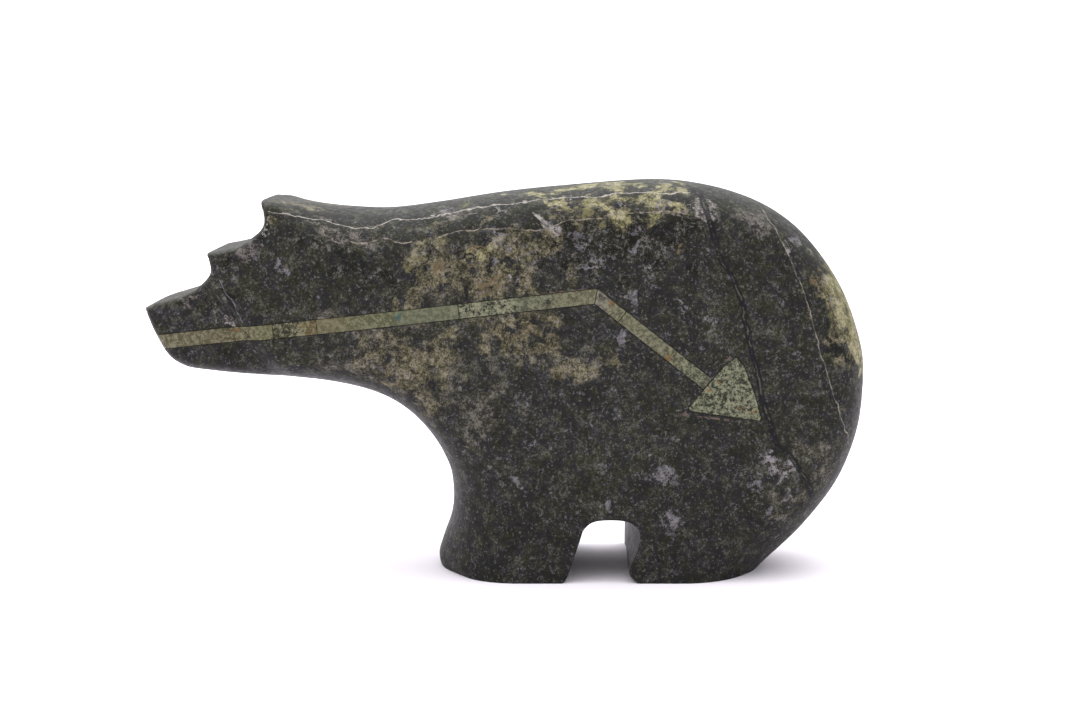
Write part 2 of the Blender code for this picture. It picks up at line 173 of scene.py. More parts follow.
# The head thins from the shoulder to the brow, and the muzzle is a little thinner again
SHOULDER_X = -20.0 * HUNDREDTH
BROW_X = -42.0 * HUNDREDTH
BROW_SHARE = 0.45
MUZZLE_EDGE_START = (-41.0 * HUNDREDTH, 41.0 * HUNDREDTH)
MUZZLE_EDGE_END = (-35.5 * HUNDREDTH, 34.5 * HUNDREDTH)
MUZZLE_EDGE_WIDTH = 3.0 * HUNDREDTH

# The gap between the feet, in hundredths
GAP = [
    (7.7, 0.0),
    (8.4, 1.0),
    (10.1, 6.0),
    (10.7, 7.6),
    (12.3, 8.7),
    (15.7, 8.8),
    (17.5, 8.2),
    (18.4, 6.8),
    (17.9, 4.4),
    (17.1, 2.5),
    (16.9, 1.4),
    (17.6, 0.4),
    (18.4, 0.0),
]
GAP_HIND_WALL = 16.5
GAP_FAR_HIND_WALL = 17.3
BELOW_FLOOR = -4.0

# The heartline, in hundredths
MOUTH = (-52.0, 32.5)
BEND = (12.2, 39.7)
ARROW_BASE = (27.4, 27.7)
ARROWHEAD = [
    (31.2, 31.4),
    (32.2, 30.3),
    (33.7, 26.5),
    (34.7, 23.2),
    (34.5, 22.7),
    (25.2, 24.0),
    (24.8, 24.4),
    (29.6, 30.2),
]
UPPER_JOINTS = (0.318, 0.411, 0.711)
LOWER_JOINT = 0.233
INTO_POCKET = 1.1

# The photograph's camera
CAMERA_PLACE = (0.00866, -0.5258, 0.125)
CAMERA_DOWN = math.radians(7.6)
SENSOR_WIDTH = 36.0
LENS = 66.67
IMAGE_WIDTH = 1080
IMAGE_HEIGHT = 720
FOCAL_PIXELS = LENS / SENSOR_WIDTH * IMAGE_WIDTH

# How a pixel of the photograph becomes a place on the carving
SIGHT_STEPS = 24
MM_PER_PIXEL = 0.253

# Studio light, in metres and watts. The room is dark where the light leans less than the first number
ALBEDO_GAIN = 0.55
FLOOR_SIZE = 6.0
FLOOR_COLOUR = (0.94, 0.89, 0.97, 1.0)
OVERHEAD_SIZE = (1.6, 1.2)
OVERHEAD_PLACE = (0.0, 0.3, 1.3)
OVERHEAD_AIM = (0.0, 0.0, 0.05)
OVERHEAD_POWER = 6.0
ROOM_LEAN = (-0.13, 0.2, 0.97)
ROOM_LIGHT = (-0.15, 0.95, 0.10, 2.6)
BACKDROP = 1.1

# Finish of the polished stone
STONE_GLOSS = 0.06
STONE_ROUGHNESS = (0.42, 0.55)
BUMP_STRENGTH = 0.12
BUMP_HEIGHT = 0.00006
VEIN_END = 1.5
VEIN_END_LIFT = 3.0

# Colours of the stone from its darkest grains to its palest: (share, colour on screen). Some of them also
# paint shade and highlights where their names say so.
PLAIN_GROUND = [
    (0.0, (42, 42, 42)),
    (0.135, (45, 45, 44)),
    (0.315, (47, 47, 46)),
    (0.49, (50, 50, 49)),
    (0.685, (54, 54, 53)),
    (0.865, (61, 60, 60)),
    (1.0, (84, 83, 84)),
]
GREEN_GROUND = [
    (0.0, (42, 43, 33)),
    (0.135, (46, 47, 37)),
    (0.315, (52, 53, 42)),
    (0.49, (59, 60, 48)),
    (0.685, (68, 69, 56)),
    (0.865, (81, 81, 69)),
    (1.0, (106, 105, 94)),
]
BLACK_GROUND_AND_SHADE = [
    (0.0, (30, 30, 25)),
    (0.315, (35, 36, 29)),
    (0.49, (46, 46, 38)),
    (0.685, (64, 63, 54)),
    (0.865, (96, 94, 86)),
    (1.0, (130, 127, 121)),
]
# Grey mineral colours, also used for the painted lit band on the neck's bevel.
GREY_MINERAL_AND_LIT_BAND = [
    (0.0, (48, 47, 42)),
    (0.135, (56, 55, 49)),
    (0.315, (67, 66, 59)),
    (0.49, (84, 82, 74)),
    (0.685, (104, 101, 92)),
    (0.865, (126, 123, 113)),
    (1.0, (142, 139, 130)),
]
OCHRE_MINERAL = [
    (0.0, (58, 57, 43)),
    (0.135, (73, 71, 54)),
    (0.315, (92, 89, 69)),
    (0.49, (115, 110, 86)),
    (0.685, (137, 130, 104)),
    (0.865, (156, 148, 123)),
    (1.0, (168, 160, 140)),
]
# Pale mineral colours, also used for the painted highlight on the rump.
PALE_MINERAL_AND_HIGHLIGHT = [
    (0.0, (80, 79, 58)),
    (0.315, (122, 119, 84)),
    (0.49, (152, 147, 106)),
    (0.685, (176, 169, 132)),
    (1.0, (198, 191, 162)),
]
LILAC_MINERAL = [
    (0.1, (102, 99, 101)),
    (0.5, (130, 127, 130)),
    (0.9, (162, 158, 163)),
]

# Features of the stone, and some painted shade and highlights, at pixels of the photograph: (u, v, half
# width, half height, tilt)
GREEN_ZONES = [
    (300, 285, 110, 60, -8),
    (600, 480, 90, 50, 0),
    (745, 320, 70, 120, 0),
    (470, 300, 130, 110, 0),
    (400, 350, 90, 60, 0),
    (640, 222, 110, 55, 0),
    (600, 188, 150, 26, 0),
    (800, 470, 75, 110, -20),
    (842, 330, 40, 130, 0),
    (660, 420, 50, 40, 0),
]
DARK_ZONES_AND_SHADE = [
    (632, 240, 96, 36, 0),
    (556, 262, 46, 22, 0),
    (440, 225, 60, 14, 0),
    # Painted shade: the next two are the shade under the crease of the neck's bevel and the muzzle's dark
    # side facet, not zones of the stone.
    (338, 262, 66, 17, 22),
    (227, 302, 9, 34, -22),
]
GRANULAR_ZONES_AND_LIT_BAND = [
    (386, 368, 90, 56, 8),
    (420, 306, 50, 18, -8),
    (450, 245, 60, 26, 0),
    (560, 240, 40, 26, 0),
    (590, 366, 50, 26, 0),
    (812, 486, 40, 54, 0),
    (470, 410, 50, 50, 0),
    (290, 212, 30, 12, 0),
    # Partly the stone's own brownish grain and partly painted light: the lit bevel under the ear.
    (368, 236, 56, 10, 4),
]
OCHRE_ZONES = [
    (486, 268, 76, 52, 0),
    (436, 272, 36, 34, 0),
    (398, 276, 22, 14, 0),
    (478, 250, 26, 16, 0),
    (530, 334, 58, 34, 10),
    (564, 356, 50, 26, 20),
    (410, 366, 56, 40, 0),
    (284, 201, 36, 16, 0),
    (630, 190, 90, 13, 0),
    (590, 210, 60, 26, 0),
    (842, 305, 42, 70, -12),
]
PALE_ZONES = [
    (604, 190, 110, 20, -3),
    (600, 212, 50, 11, -6),
    (486, 240, 30, 10, 0),
]
# The pale yellow patch on the rump: partly the stone's own colour, partly a painted highlight on the rump's
# rounded edge.
RUMP_LENS_AND_HIGHLIGHT = [
    (848, 298, 42, 60, -14),
    (860, 335, 30, 46, -8),
]
LEMON_SPOTS = [
    (587, 210, 12, 9, 0),
    (565, 206, 8, 6, 0),
    (405, 268, 9, 7, 0),
    (418, 262, 6, 5, 0),
    (528, 258, 8, 7, 0),
    (560, 189, 12, 5, 0),
    (466, 203, 9, 4, 0),
    (447, 334, 8, 10, 0),
    (600, 222, 10, 6, 0),
    (838, 290, 12, 12, 0),
    (848, 320, 8, 16, 0),
]
ORANGE_SPOTS = [
    (478, 247, 9, 7, 0),
    (436, 272, 8, 8, 0),
    (491, 283, 13, 8, 0),
    (482, 291, 8, 7, 0),
    (679, 247, 5, 4, 0),
    (530, 331, 12, 6, 0),
    (545, 338, 7, 5, 0),
    (418, 352, 6, 5, 0),
    (816, 280, 8, 10, 0),
]
LILAC_SPOTS = [
    (665, 476, 17, 12, 0),
    (671, 523, 12, 18, 0),
    (771, 465, 22, 10, 50),
    (787, 470, 20, 8, -55),
    (755, 483, 11, 8, 0),
    (789, 500, 7, 6, 0),
    (770, 512, 7, 6, 0),
    (518, 483, 7, 6, 0),
    (530, 443, 7, 6, 0),
    (608, 506, 9, 5, 0),
    (606, 258, 14, 7, 0),
    (590, 267, 18, 4, 0),
    (580, 238, 16, 8, 20),
    (498, 239, 5, 9, 0),
    (505, 249, 6, 6, 0),
    (532, 248, 4, 4, 0),
    (633, 251, 5, 6, 0),
    (648, 275, 7, 10, 0),
    (632, 298, 7, 8, 0),
    (680, 305, 5, 7, 0),
    (623, 338, 7, 7, 0),
    (711, 317, 7, 5, 0),
    (783, 303, 4, 7, 0),
    (494, 264, 6, 5, 0),
    (450, 212, 14, 6, -10),
    (796, 240, 9, 9, 0),
    (620, 209, 8, 5, 0),
    (660, 205, 10, 6, 0),
    (640, 231, 8, 5, 0),
    (279, 266, 6, 12, -20),
]
INK_SPOTS_AND_SHADE = [
    (488, 271, 7, 4, -30),
    (508, 261, 6, 5, 0),
    (471, 254, 5, 5, 0),
    (467, 287, 8, 9, 0),
    (429, 250, 3, 44, 4),
    (563, 356, 6, 4, 0),
    # Painted shade along the crease where the rump's flat side meets its rounded edge.
    (840, 352, 34, 7, 42),
    (660, 232, 24, 9, 0),
    # Painted shade: the next two darken the crease under the neck's bevel and the muzzle's side facet.
    (352, 259, 30, 8, 15),
    (229, 301, 6, 28, -24),
]
PINK_HAZES = [
    (188, 299, 24, 4, -8),
    (322, 227, 28, 6, 18),
    (356, 238, 26, 7, 6),
    (757, 222, 30, 15, 25),
    (704, 207, 17, 14, 30),
    (335, 234, 16, 9, 20),
    (246, 252, 20, 13, -12),
    (670, 210, 28, 5, 0),
    (462, 214, 20, 6, -8),
]
WHITE_CLUSTERS_AND_HIGHLIGHT = [
    (556, 232, 9, 7, 0),
    (704, 207, 18, 15, 30),
    (771, 464, 20, 5, 50),
    (788, 472, 18, 4.5, -55),
    (513, 278, 5, 5, 0),
    (499, 212, 8, 4, 0),
    (230, 322, 5, 6, 0),
    (786, 247, 4, 8, -20),
    # Painted highlight: the lit strip in the hollow at the foot of the ear's front.
    (268, 226, 3, 14, 0),
    (571, 200, 5, 3, 0),
]
SCRATCHES = [
    (541, 219, 20, 2.2, 38),
    (549, 229, 12, 1.8, 38),
]
HEAD_HAIRLINE = [
    (219, 279),
    (226, 292),
    (234, 305),
    (243, 322),
]
UPPER_VEIN = [
    (269, 212),
    (311, 218),
    (329, 221),
    (350, 227),
    (361, 228),
    (387, 222),
    (431, 217),
    (478, 208),
    (527, 201),
    (564, 198),
    (596, 196),
    (625, 193),
    (690, 193),
]
LOWER_VEIN = [
    (322, 230),
    (334, 241),
    (342, 242.5),
    (367, 242.5),
    (387, 239),
    (408, 243),
    (439, 238),
    (472, 230),
    (543, 229),
    (564, 223),
    (596, 218),
    (625, 213),
    (662, 211),
    (690, 215),
]
FAULT = [
    (683, 180),
    (703, 200),
    (708, 215),
    (716, 243),
    (722, 262),
    (731, 275),
    (742, 305),
    (746, 325),
    (752, 350),
    (757, 372),
    (766, 410),
    (772, 430),
    (778, 445),
    (790, 455),
    (800, 470),
    (808, 485),
    (812, 497),
]
RUMP_VEIN = [
    (761, 207),
    (771, 223),
    (780, 237),
    (786, 250),
    (798, 278),
    (805, 296),
    (814, 328),
    (821, 355),
    (827, 373),
    (837, 405),
    (841, 417),
    (850, 443),
]

# Veins of the near side: (pixels, direction, outer and inner reach in mm, weakest, strongest, colour)
NEAR_VEINS = [
    (UPPER_VEIN, "X", 0.17, 0.02, 0.5, 0.95, (208, 200, 193)),
    (LOWER_VEIN, "X", 0.22, 0.03, 0.15, 0.75, (186, 174, 160)),
    (HEAD_HAIRLINE, "Z", 0.24, 0.03, 0.3, 0.8, (140, 142, 148)),
]

# Ground walls of the leg gap, in millimetres
GAP_MIDDLE = 25.6
GAP_REACH = 9.0

# Glue beside the inlay, and small spots in it
GLUE_LINES = [
    (560, 292.3, 40, 1.6, -7),
    (728, 359.5, 13, 1.4, -38),
    (724, 419.6, 42, 1.5, 7),
    (686, 414.5, 5, 3, 0),
]
INLAY_ORANGE_SPOTS = [
    (236, 330, 5, 3, 0),
    (612, 303, 4, 4, 0),
    (668, 358, 4, 3, 0),
    (720, 382, 3, 3, 0),
    (709, 390, 4, 3, 0),
    (742, 408, 4, 2, 0),
    (753, 412, 5, 2, 0),
]
INLAY_TEAL_SPOTS = [
    (399, 317, 4, 6, 0),
]
INLAY_INK_SPOTS = [
    (248.6, 336, 2.5, 4, 0),
    (548, 301, 4, 4, 0),
    (601, 297, 3.5, 3.5, 0),
    (286, 331, 6, 4, 0),
]

# Colours along the inlay: (u, v, (red, green, blue, speckle))
MUZZLE_COLOURS = [
    (163, 341, (121, 115, 92, 0.6)),
    (190, 339, (120, 114, 91, 0.6)),
    (221, 335, (116, 110, 87, 0.6)),
    (226, 335, (106, 100, 74, 0.8)),
    (246, 333, (108, 103, 76, 0.8)),
    (251, 332, (124, 121, 88, 0.6)),
    (272, 330, (118, 117, 86, 0.6)),
]
CHEEK_COLOURS = [
    (274, 330, (96, 95, 72, 0.9)),
    (302, 327, (102, 99, 74, 0.8)),
    (307, 327, (132, 118, 84, 0.6)),
    (316, 326, (128, 116, 84, 0.5)),
]
NECK_COLOURS = [
    (318, 326, (128, 121, 93, 0.35)),
    (338, 324, (124, 119, 90, 0.4)),
    (344, 323, (117, 116, 86, 0.5)),
    (395, 318, (113, 116, 87, 0.5)),
    (404, 317, (120, 123, 99, 0.35)),
    (458, 311, (122, 125, 101, 0.4)),
]
SHOULDER_COLOURS = [
    (461, 310, (126, 127, 104, 1.0)),
    (509, 305, (124, 125, 102, 1.0)),
    (513, 305, (116, 117, 96, 0.6)),
    (549, 301, (116, 117, 96, 0.6)),
    (554, 300, (126, 126, 100, 0.5)),
    (596, 296, (126, 124, 98, 0.5)),
]
BEND_COLOURS = [
    (598, 298, (134, 128, 116, 0.6)),
    (606, 304, (132, 126, 112, 0.6)),
    (612, 308, (126, 122, 98, 0.6)),
    (623, 316, (118, 119, 94, 0.5)),
]
FLANK_COLOURS = [
    (626, 319, (122, 122, 96, 0.5)),
    (660, 346, (130, 128, 104, 0.6)),
    (672, 355, (120, 120, 95, 0.7)),
    (697, 375, (112, 114, 92, 0.9)),
    (707, 383, (104, 107, 88, 0.7)),
]
ARROW_COLOURS = [
    (700, 400, (118, 120, 98, 1.0)),
    (760, 420, (116, 118, 96, 1.0)),
]


def smooth_curve(points, step):
    """Points every step or so along the Catmull-Rom curve through the given ones."""
    points = np.array(points, float)
    ends = np.vstack([2 * points[0] - points[1], points, 2 * points[-1] - points[-2]])
    curve = []
    for i in range(1, len(ends) - 2):
        before, start, end, after = ends[i - 1 : i + 3]
        count = max(1, math.ceil(np.linalg.norm((end - start)[:2]) / step))
        for t in np.arange(count) / count:
            curve.append(
                0.5
                * (
                    2 * start
                    + (end - before) * t
                    + (2 * before - 5 * start + 4 * end - after) * t**2
                    + (3 * start - before - 3 * end + after) * t**3
                )
            )
    curve.append(points[-1])
    return np.array(curve)


def cut_back(curve, start_cut, end_cut):
    """The curve without the given lengths at its two ends."""
    lengths = np.concatenate([[0], np.cumsum(np.linalg.norm(np.diff(curve[:, :2], axis=0), axis=1))])
    kept = [start_cut] + [s for s in lengths if start_cut < s < lengths[-1] - end_cut]
    kept.append(lengths[-1] - end_cut)
    return np.column_stack([np.interp(kept, lengths, curve[:, i]) for i in range(3)])


def rounded_corner(before, corner, after, samples):
    """Points of the arc-like curve that rounds a corner, its ends left out."""
    ts = np.arange(1, samples) / samples
    return [(1 - t) ** 2 * before + 2 * t * (1 - t) * corner + t**2 * after for t in ts]


def outline_stretches(step, corner_samples=4):
    """Each stretch as rows of (x, z, rounding), with the corners shared half and half."""
    scale = np.array([HUNDREDTH, HUNDREDTH, 1.0])
    curves = [smooth_curve(np.array(stretch) * scale, step) for stretch in STRETCHES]
    cuts = [cut * HUNDREDTH for cut in CORNER_CUTS]
    count = len(curves)
    trimmed = [cut_back(curves[i], cuts[i - 1], cuts[i]) for i in range(count)]
    corners = []
    for i in range(count):
        first = trimmed[i][-1]
        second = trimmed[(i + 1) % count][0]
        corner = np.append(curves[i][-1][:2], 0.5 * (first[2] + second[2]))
        corners.append(rounded_corner(first, corner, second, corner_samples))
    half = corner_samples // 2
    stretches = []
    for i in range(count):
        lead = corners[i - 1][half - 1 :]
        tail = corners[i][:half]
        rows = [np.append(row[:2], trimmed[i][0][2]) for row in lead]
        rows += list(trimmed[i])
        rows += [np.append(row[:2], trimmed[i][-1][2]) for row in tail]
        stretches.append(np.array(rows))
    return stretches


def nearest_on(points, stretch, batch=4000):
    """Distance from each point to the stretch, and the rounding at the nearest place on it."""
    start = stretch[:-1, None, :2]
    along = stretch[1:, None, :2] - start
    distances = []
    roundings = []
    for first in range(0, len(points), batch):
        some = points[None, first : first + batch]
        t = np.clip(((some - start) * along).sum(-1) / (along**2).sum(-1), 0, 1)
        distance = np.linalg.norm(some - start - t[..., None] * along, axis=-1)
        best = distance.argmin(axis=0)
        column = np.arange(some.shape[1])
        share = t[best, column]
        distances.append(distance[best, column])
        roundings.append(stretch[best, 2] * (1 - share) + stretch[best + 1, 2] * share)
    return np.concatenate(distances), np.concatenate(roundings)


def squareness(rounding):
    """Exponent of the edge's section."""
    return FULL_SECTION + SHOULDER_LENGTH / rounding


def side_depth(points):
    """Half thickness of the flat side at each (x, z), before its edges are rounded."""
    x = points[:, 0]
    head = np.clip((SHOULDER_X - x) / (SHOULDER_X - BROW_X), 0, 1)
    start = np.array(MUZZLE_EDGE_START)
    along = np.array(MUZZLE_EDGE_END) - start
    across = np.array([-along[1], along[0]]) / np.linalg.norm(along)
    ahead = (start - points) @ -across
    muzzle = np.clip(0.5 - ahead / MUZZLE_EDGE_WIDTH, 0, 1)
    muzzle = muzzle * muzzle * (3 - 2 * muzzle)
    narrowing = 0.5 * (BODY_THICKNESS - MUZZLE_THICKNESS)
    return 0.5 * BODY_THICKNESS - narrowing * (BROW_SHARE * head + (1 - BROW_SHARE) * muzzle)


def surface_depth(points, stretches):
    """Half thickness of the body at each (x, z), with every edge rounded."""
    depth = side_depth(points)
    share = np.ones(len(points))
    for stretch in stretches:
        distance, rounding = nearest_on(points, stretch)
        t = np.clip(distance / rounding, 0, 1)
        share = np.minimum(share, (1 - (1 - t) ** 2) ** (1 / squareness(rounding)))
    return depth * share


def rolled(distance, radius):
    """How far a surface falls below its level at a distance from an edge that is rolled over."""
    t = np.clip(distance / radius, 0, 1)
    return radius * (1 - np.sqrt(1 - (1 - t) ** 2))


def inside(points, loop):
    """Which points lie inside the closed loop."""
    found = np.zeros(len(points), bool)
    x, z = points[:, 0], points[:, 1]
    for a, b in zip(loop, np.roll(loop, -1, axis=0)):
        if a[1] == b[1]:
            continue
        spans = (a[1] > z) != (b[1] > z)
        crossing = a[0] + (z - a[1]) * (b[0] - a[0]) / (b[1] - a[1])
        found ^= spans & (x < crossing)
    return found


def ring_points(stretch, rings):
    """Points to the right of each point of a stretch, spaced as the rounding turns."""
    tangent = np.gradient(stretch[:, :2], axis=0)
    inward = np.column_stack([tangent[:, 1], -tangent[:, 0]])
    inward /= np.linalg.norm(inward, axis=1)[:, None]
    found = []
    for ring in range(1, rings + 1):
        offset = stretch[:, 2] * (1 - math.cos(0.5 * math.pi * ring / rings))
        moved = stretch[:, :2] + inward * offset[:, None]
        distance, _ = nearest_on(moved, stretch)
        found.append(moved[distance > SAME_OFFSET * offset])
    return np.vstack(found)


def grid_points(loop, spacing):
    """A triangular grid over the loop's box."""
    low, high = loop.min(axis=0), loop.max(axis=0)
    rows = []
    row_height = spacing * math.sqrt(0.75)
    for i, z in enumerate(np.arange(low[1], high[1], row_height)):
        xs = np.arange(low[0] + 0.5 * spacing * (i % 2), high[0], spacing)
        rows.append(np.column_stack([xs, np.full(len(xs), z)]))
    return np.vstack(rows)


def thinned(candidates, kept, least):
    """Candidates added one by one where no kept point is nearer than their least distance."""
    count = len(kept)
    points = np.vstack([kept, np.zeros((len(candidates), 2))])
    for point, room in zip(candidates, least):
        gaps = np.abs(points[:count] - point).sum(axis=1)
        if gaps.min() > room:
            points[count] = point
            count += 1
    return points[:count]


def cut_loop(far):
    """What is cut away below the soles and between the feet, clockwise, at the near or the far side."""
    arch = smooth_curve([(x * HUNDREDTH, z * HUNDREDTH, 0) for x, z in GAP], OUTLINE_STEP)[:, :2]
    if far:
        hind_wall = arch[:, 0] > GAP_HIND_WALL * HUNDREDTH
        arch[hind_wall, 0] = GAP_FAR_HIND_WALL * HUNDREDTH
    left, right, low = -BODY_LENGTH, BODY_LENGTH, BELOW_FLOOR * HUNDREDTH
    return np.vstack([(left, 0), arch, (right, 0), (right, low), (left, low)])


def cut_edge(far):
    """The visible edge of the cut between the front foot's toe and the hind foot's heel, as a stretch."""
    loop = cut_loop(far)[:-2]
    edge = []
    for a, b in zip(loop, loop[1:]):
        count = max(1, math.ceil(np.linalg.norm(b - a) / OUTLINE_STEP))
        edge += [a + (b - a) * i / count for i in range(count)]
    edge = np.array(edge)
    edge = edge[np.abs(edge[:, 0]) < 0.5 * BODY_LENGTH]
    return np.column_stack([edge, np.full(len(edge), EDGE_BREAK)])


def body_depth(points, stretches, edge):
    """Half thickness of the body, with the edge of the feet's cut broken too."""
    distance, _ = nearest_on(points, edge)
    distance[inside(points, np.vstack([edge[:, :2], cut_loop(False)[-2:]]))] = 0
    return surface_depth(points, stretches) * (1 - rolled(distance, EDGE_BREAK) / (0.5 * BODY_THICKNESS))


def body_half_mesh(name, stretches, edge, side):
    """One half of the body, open at the middle plane.

    Side is -1 for the near half and 1 for the far one.
    """
    loop = np.vstack([stretch[:-1, :2] for stretch in stretches])
    breaks = ring_points(edge[::-1], BREAK_RINGS)
    ringed = np.vstack([breaks] + [ring_points(stretch, ROUND_RINGS) for stretch in stretches])
    ringed = ringed[inside(ringed, loop)]
    gridded = grid_points(loop, SIDE_GRID)
    gridded = gridded[inside(gridded, loop)]
    edge_distance = np.min([nearest_on(ringed, stretch)[0] for stretch in stretches], axis=0)
    clear = edge_distance > LEAST_OFFSET
    break_distance, _ = nearest_on(ringed[clear], edge)
    nearest_edge = np.minimum(edge_distance[clear], break_distance)
    room = np.minimum(ROOM_ON_RINGS * OUTLINE_STEP, ROOM_AT_EDGE * nearest_edge)
    points = thinned(ringed[clear], loop, room)
    points = thinned(gridded, points, np.full(len(gridded), ROOM_ON_GRID * SIDE_GRID))
    vectors = [Vector(point) for point in points]
    rim = list(range(len(loop)))
    flat, _, triangles, *_ = delaunay_2d_cdt(vectors, [], [rim], 1, SAME_POINT)
    flat = np.array([tuple(point) for point in flat])
    depth = body_depth(flat, stretches, edge)
    depth[: len(loop)] = 0.0
    mesh = bpy.data.meshes.new(name)
    mesh.from_pydata([(x, side * y, z) for (x, z), y in zip(flat, depth)], [], triangles)
    mesh.validate()
    return mesh


def new_object(name, mesh):
    obj = bpy.data.objects.new(name, mesh)
    bpy.context.scene.collection.objects.link(obj)
    return obj


def mesh_from(made, name):
    """A mesh from a bmesh, with its faces turned outward."""
    bmesh.ops.recalc_face_normals(made, faces=made.faces)
    mesh = bpy.data.meshes.new(name)
    made.to_mesh(mesh)
    made.free()
    return mesh


def boolean(obj, other):
    modifier = obj.modifiers.new("cut_" + other.name, "BOOLEAN")
    modifier.operation = "DIFFERENCE"
    modifier.solver = "EXACT"
    modifier.object = other


def apply_modifiers(obj):
    """Replaces the object's mesh with what its modifiers make of it."""
    graph = bpy.context.evaluated_depsgraph_get()
    mesh = bpy.data.meshes.new_from_object(obj.evaluated_get(graph))
    obj.modifiers.clear()
    obj.data = mesh


def shade(obj, sharp_above):
    """Smooth shading with the sharp edges kept."""
    mesh = obj.data
    mesh.shade_smooth()
    made = bmesh.new()
    made.from_mesh(mesh)
    for line in made.edges:
        line.smooth = len(line.link_faces) == 2 and line.calc_face_angle(0) < sharp_above
    made.to_mesh(mesh)
    made.free()


def loop_prism(name, loops):
    """A closed solid through loops of (x, y, z) with as many points each."""
    made = bmesh.new()
    rings = [[made.verts.new(point) for point in loop] for loop in loops]
    for a, b in zip(rings, rings[1:]):
        for i in range(len(a)):
            j = (i + 1) % len(a)
            made.faces.new((a[i], a[j], b[j], b[i]))
    made.faces.new(rings[0])
    made.faces.new(rings[-1][::-1])
    return new_object(name, mesh_from(made, name))


def feet_cutter():
    """What lies below the flat soles, with the gap between the feet."""
    near, far = cut_loop(False), cut_loop(True)
    side = 0.5 * BODY_THICKNESS
    loops = []
    for y in [-2 * side] + list(side * np.array(CUTTER_STATIONS)) + [2 * side]:
        loop = near + (far - near) * (0.5 + 0.5 * y / side)
        loops.append([(x, y, z) for x, z in loop])
    cutter = loop_prism("feet_cutter", loops)
    cutter.modifiers.new("split_leaning_walls", "TRIANGULATE")
    return cutter


def turned(direction):
    return np.array([-direction[1], direction[0]])


def meet(point, direction, line_point, line_direction):
    """Where the line through point along direction meets another line."""
    matrix = np.column_stack([direction, -line_direction])
    t, _ = np.linalg.solve(matrix, line_point - point)
    return point + t * direction


def strip_legs(grow):
    """The heartline's two straight legs, each as its start, unit direction, length and half width."""
    mouth, bend, base = (np.array(point) * HUNDREDTH for point in (MOUTH, BEND, ARROW_BASE))
    legs = []
    for start, end, width in ((mouth, bend, STRIP_WIDTH), (bend, base, LOWER_STRIP_WIDTH)):
        length = np.linalg.norm(end - start)
        legs.append((start, (end - start) / length, length, 0.5 * width + grow))
    return legs


def mitre_corner(legs, side):
    """Where an edge of the first leg meets the same edge of the second."""
    lines = [(start + side * half * turned(way), way) for start, way, _, half in legs]
    return meet(*lines[0], *lines[1])


def offset_loop(loop, distance):
    """A convex loop grown by a distance."""
    loop = np.array(loop)
    centre = loop.mean(axis=0)
    lines = []
    for a, b in zip(loop, np.roll(loop, -1, axis=0)):
        direction = (b - a) / np.linalg.norm(b - a)
        normal = turned(direction)
        if normal @ (a - centre) < 0:
            normal = -normal
        lines.append((a + normal * distance, direction))
    return np.array([meet(*lines[i - 1], *lines[i]) for i in range(len(loop))])


def channel_floor(leg, s, depth):
    """Where a floor that deep lies at each place along a leg."""
    start, direction, _, _ = strip_legs(0)[leg]
    return depth - side_depth(start + direction * np.atleast_1d(s)[:, None])


def channel_cutter():
    """One groove for the whole strip, from before the mouth into the arrowhead's pocket."""
    legs = strip_legs(JOINT_GAP)
    corners = [mitre_corner(legs, side) for side in (1, -1)]
    start, direction, length, half = legs[0]
    ends = [(corner - start) @ direction for corner in corners]
    rows = []
    for s in np.arange(0, min(ends), SIDE_GRID):
        sides = [start + direction * s + side * half * turned(direction) for side in (1, -1)]
        rows.append((sides, channel_floor(0, s, CHANNEL_DEPTH)[0]))
    floor = channel_floor(0, length, CHANNEL_DEPTH)[0]
    rows.append((corners, floor))
    start, direction, length, half = legs[1]
    last = start + direction * length * INTO_POCKET
    rows.append(([last + side * half * turned(direction) for side in (1, -1)], floor))
    sections = []
    for (upper, lower), level in rows:
        sections.append(
            [
                (upper[0], -BODY_THICKNESS, upper[1]),
                (upper[0], level, upper[1]),
                (lower[0], level, lower[1]),
                (lower[0], -BODY_THICKNESS, lower[1]),
            ]
        )
    return loop_prism("channel_cutter", sections)


def strip_outline(leg, start_share, end_share, stretches):
    """The outline of a strip piece's polished face, and how deep its floor lies below each point.

    Share 1 of the first leg and share 0 of the second are the mitre at the bend. The first piece
    starts where the nose falls away below its floor.
    """
    legs = strip_legs(0)
    start, direction, length, half = legs[leg]
    corners = [(mitre_corner(legs, side) - start) @ direction for side in (1, -1)]
    offsets = np.linspace(1, -1, math.ceil(2 * half / PIECE_STEP) + 1)
    edges = []
    for share, sign in ((start_share, 1), (end_share, -1)):
        if share == 1 - leg:
            places = np.interp(offsets, (-1, 1), corners[::-1])
        else:
            places = np.full(len(offsets), share * length)
        edges.append(places + 0.5 * sign * JOINT_GAP)
    if leg == 0 and start_share == 0:
        edges[0] = nose_start(start, direction, half, offsets, length, stretches)
    sides = []
    for first, last, offset in ((edges[0][0], edges[1][0], 1), (edges[1][-1], edges[0][-1], -1)):
        count = math.ceil(abs(last - first) / PIECE_STEP)
        sides.append([(first + (last - first) * i / count, offset) for i in range(count)])
    end = list(zip(edges[1][:-1], offsets[:-1]))
    back = list(zip(edges[0][::-1][:-1], offsets[::-1][:-1]))
    loop = sides[0] + end + sides[1] + back
    points = np.array([start + direction * s + half * o * turned(direction) for s, o in loop])
    floors = channel_floor(leg, np.array([s for s, _ in loop]), CHANNEL_DEPTH - UNDER_PIECE)
    return points, floors


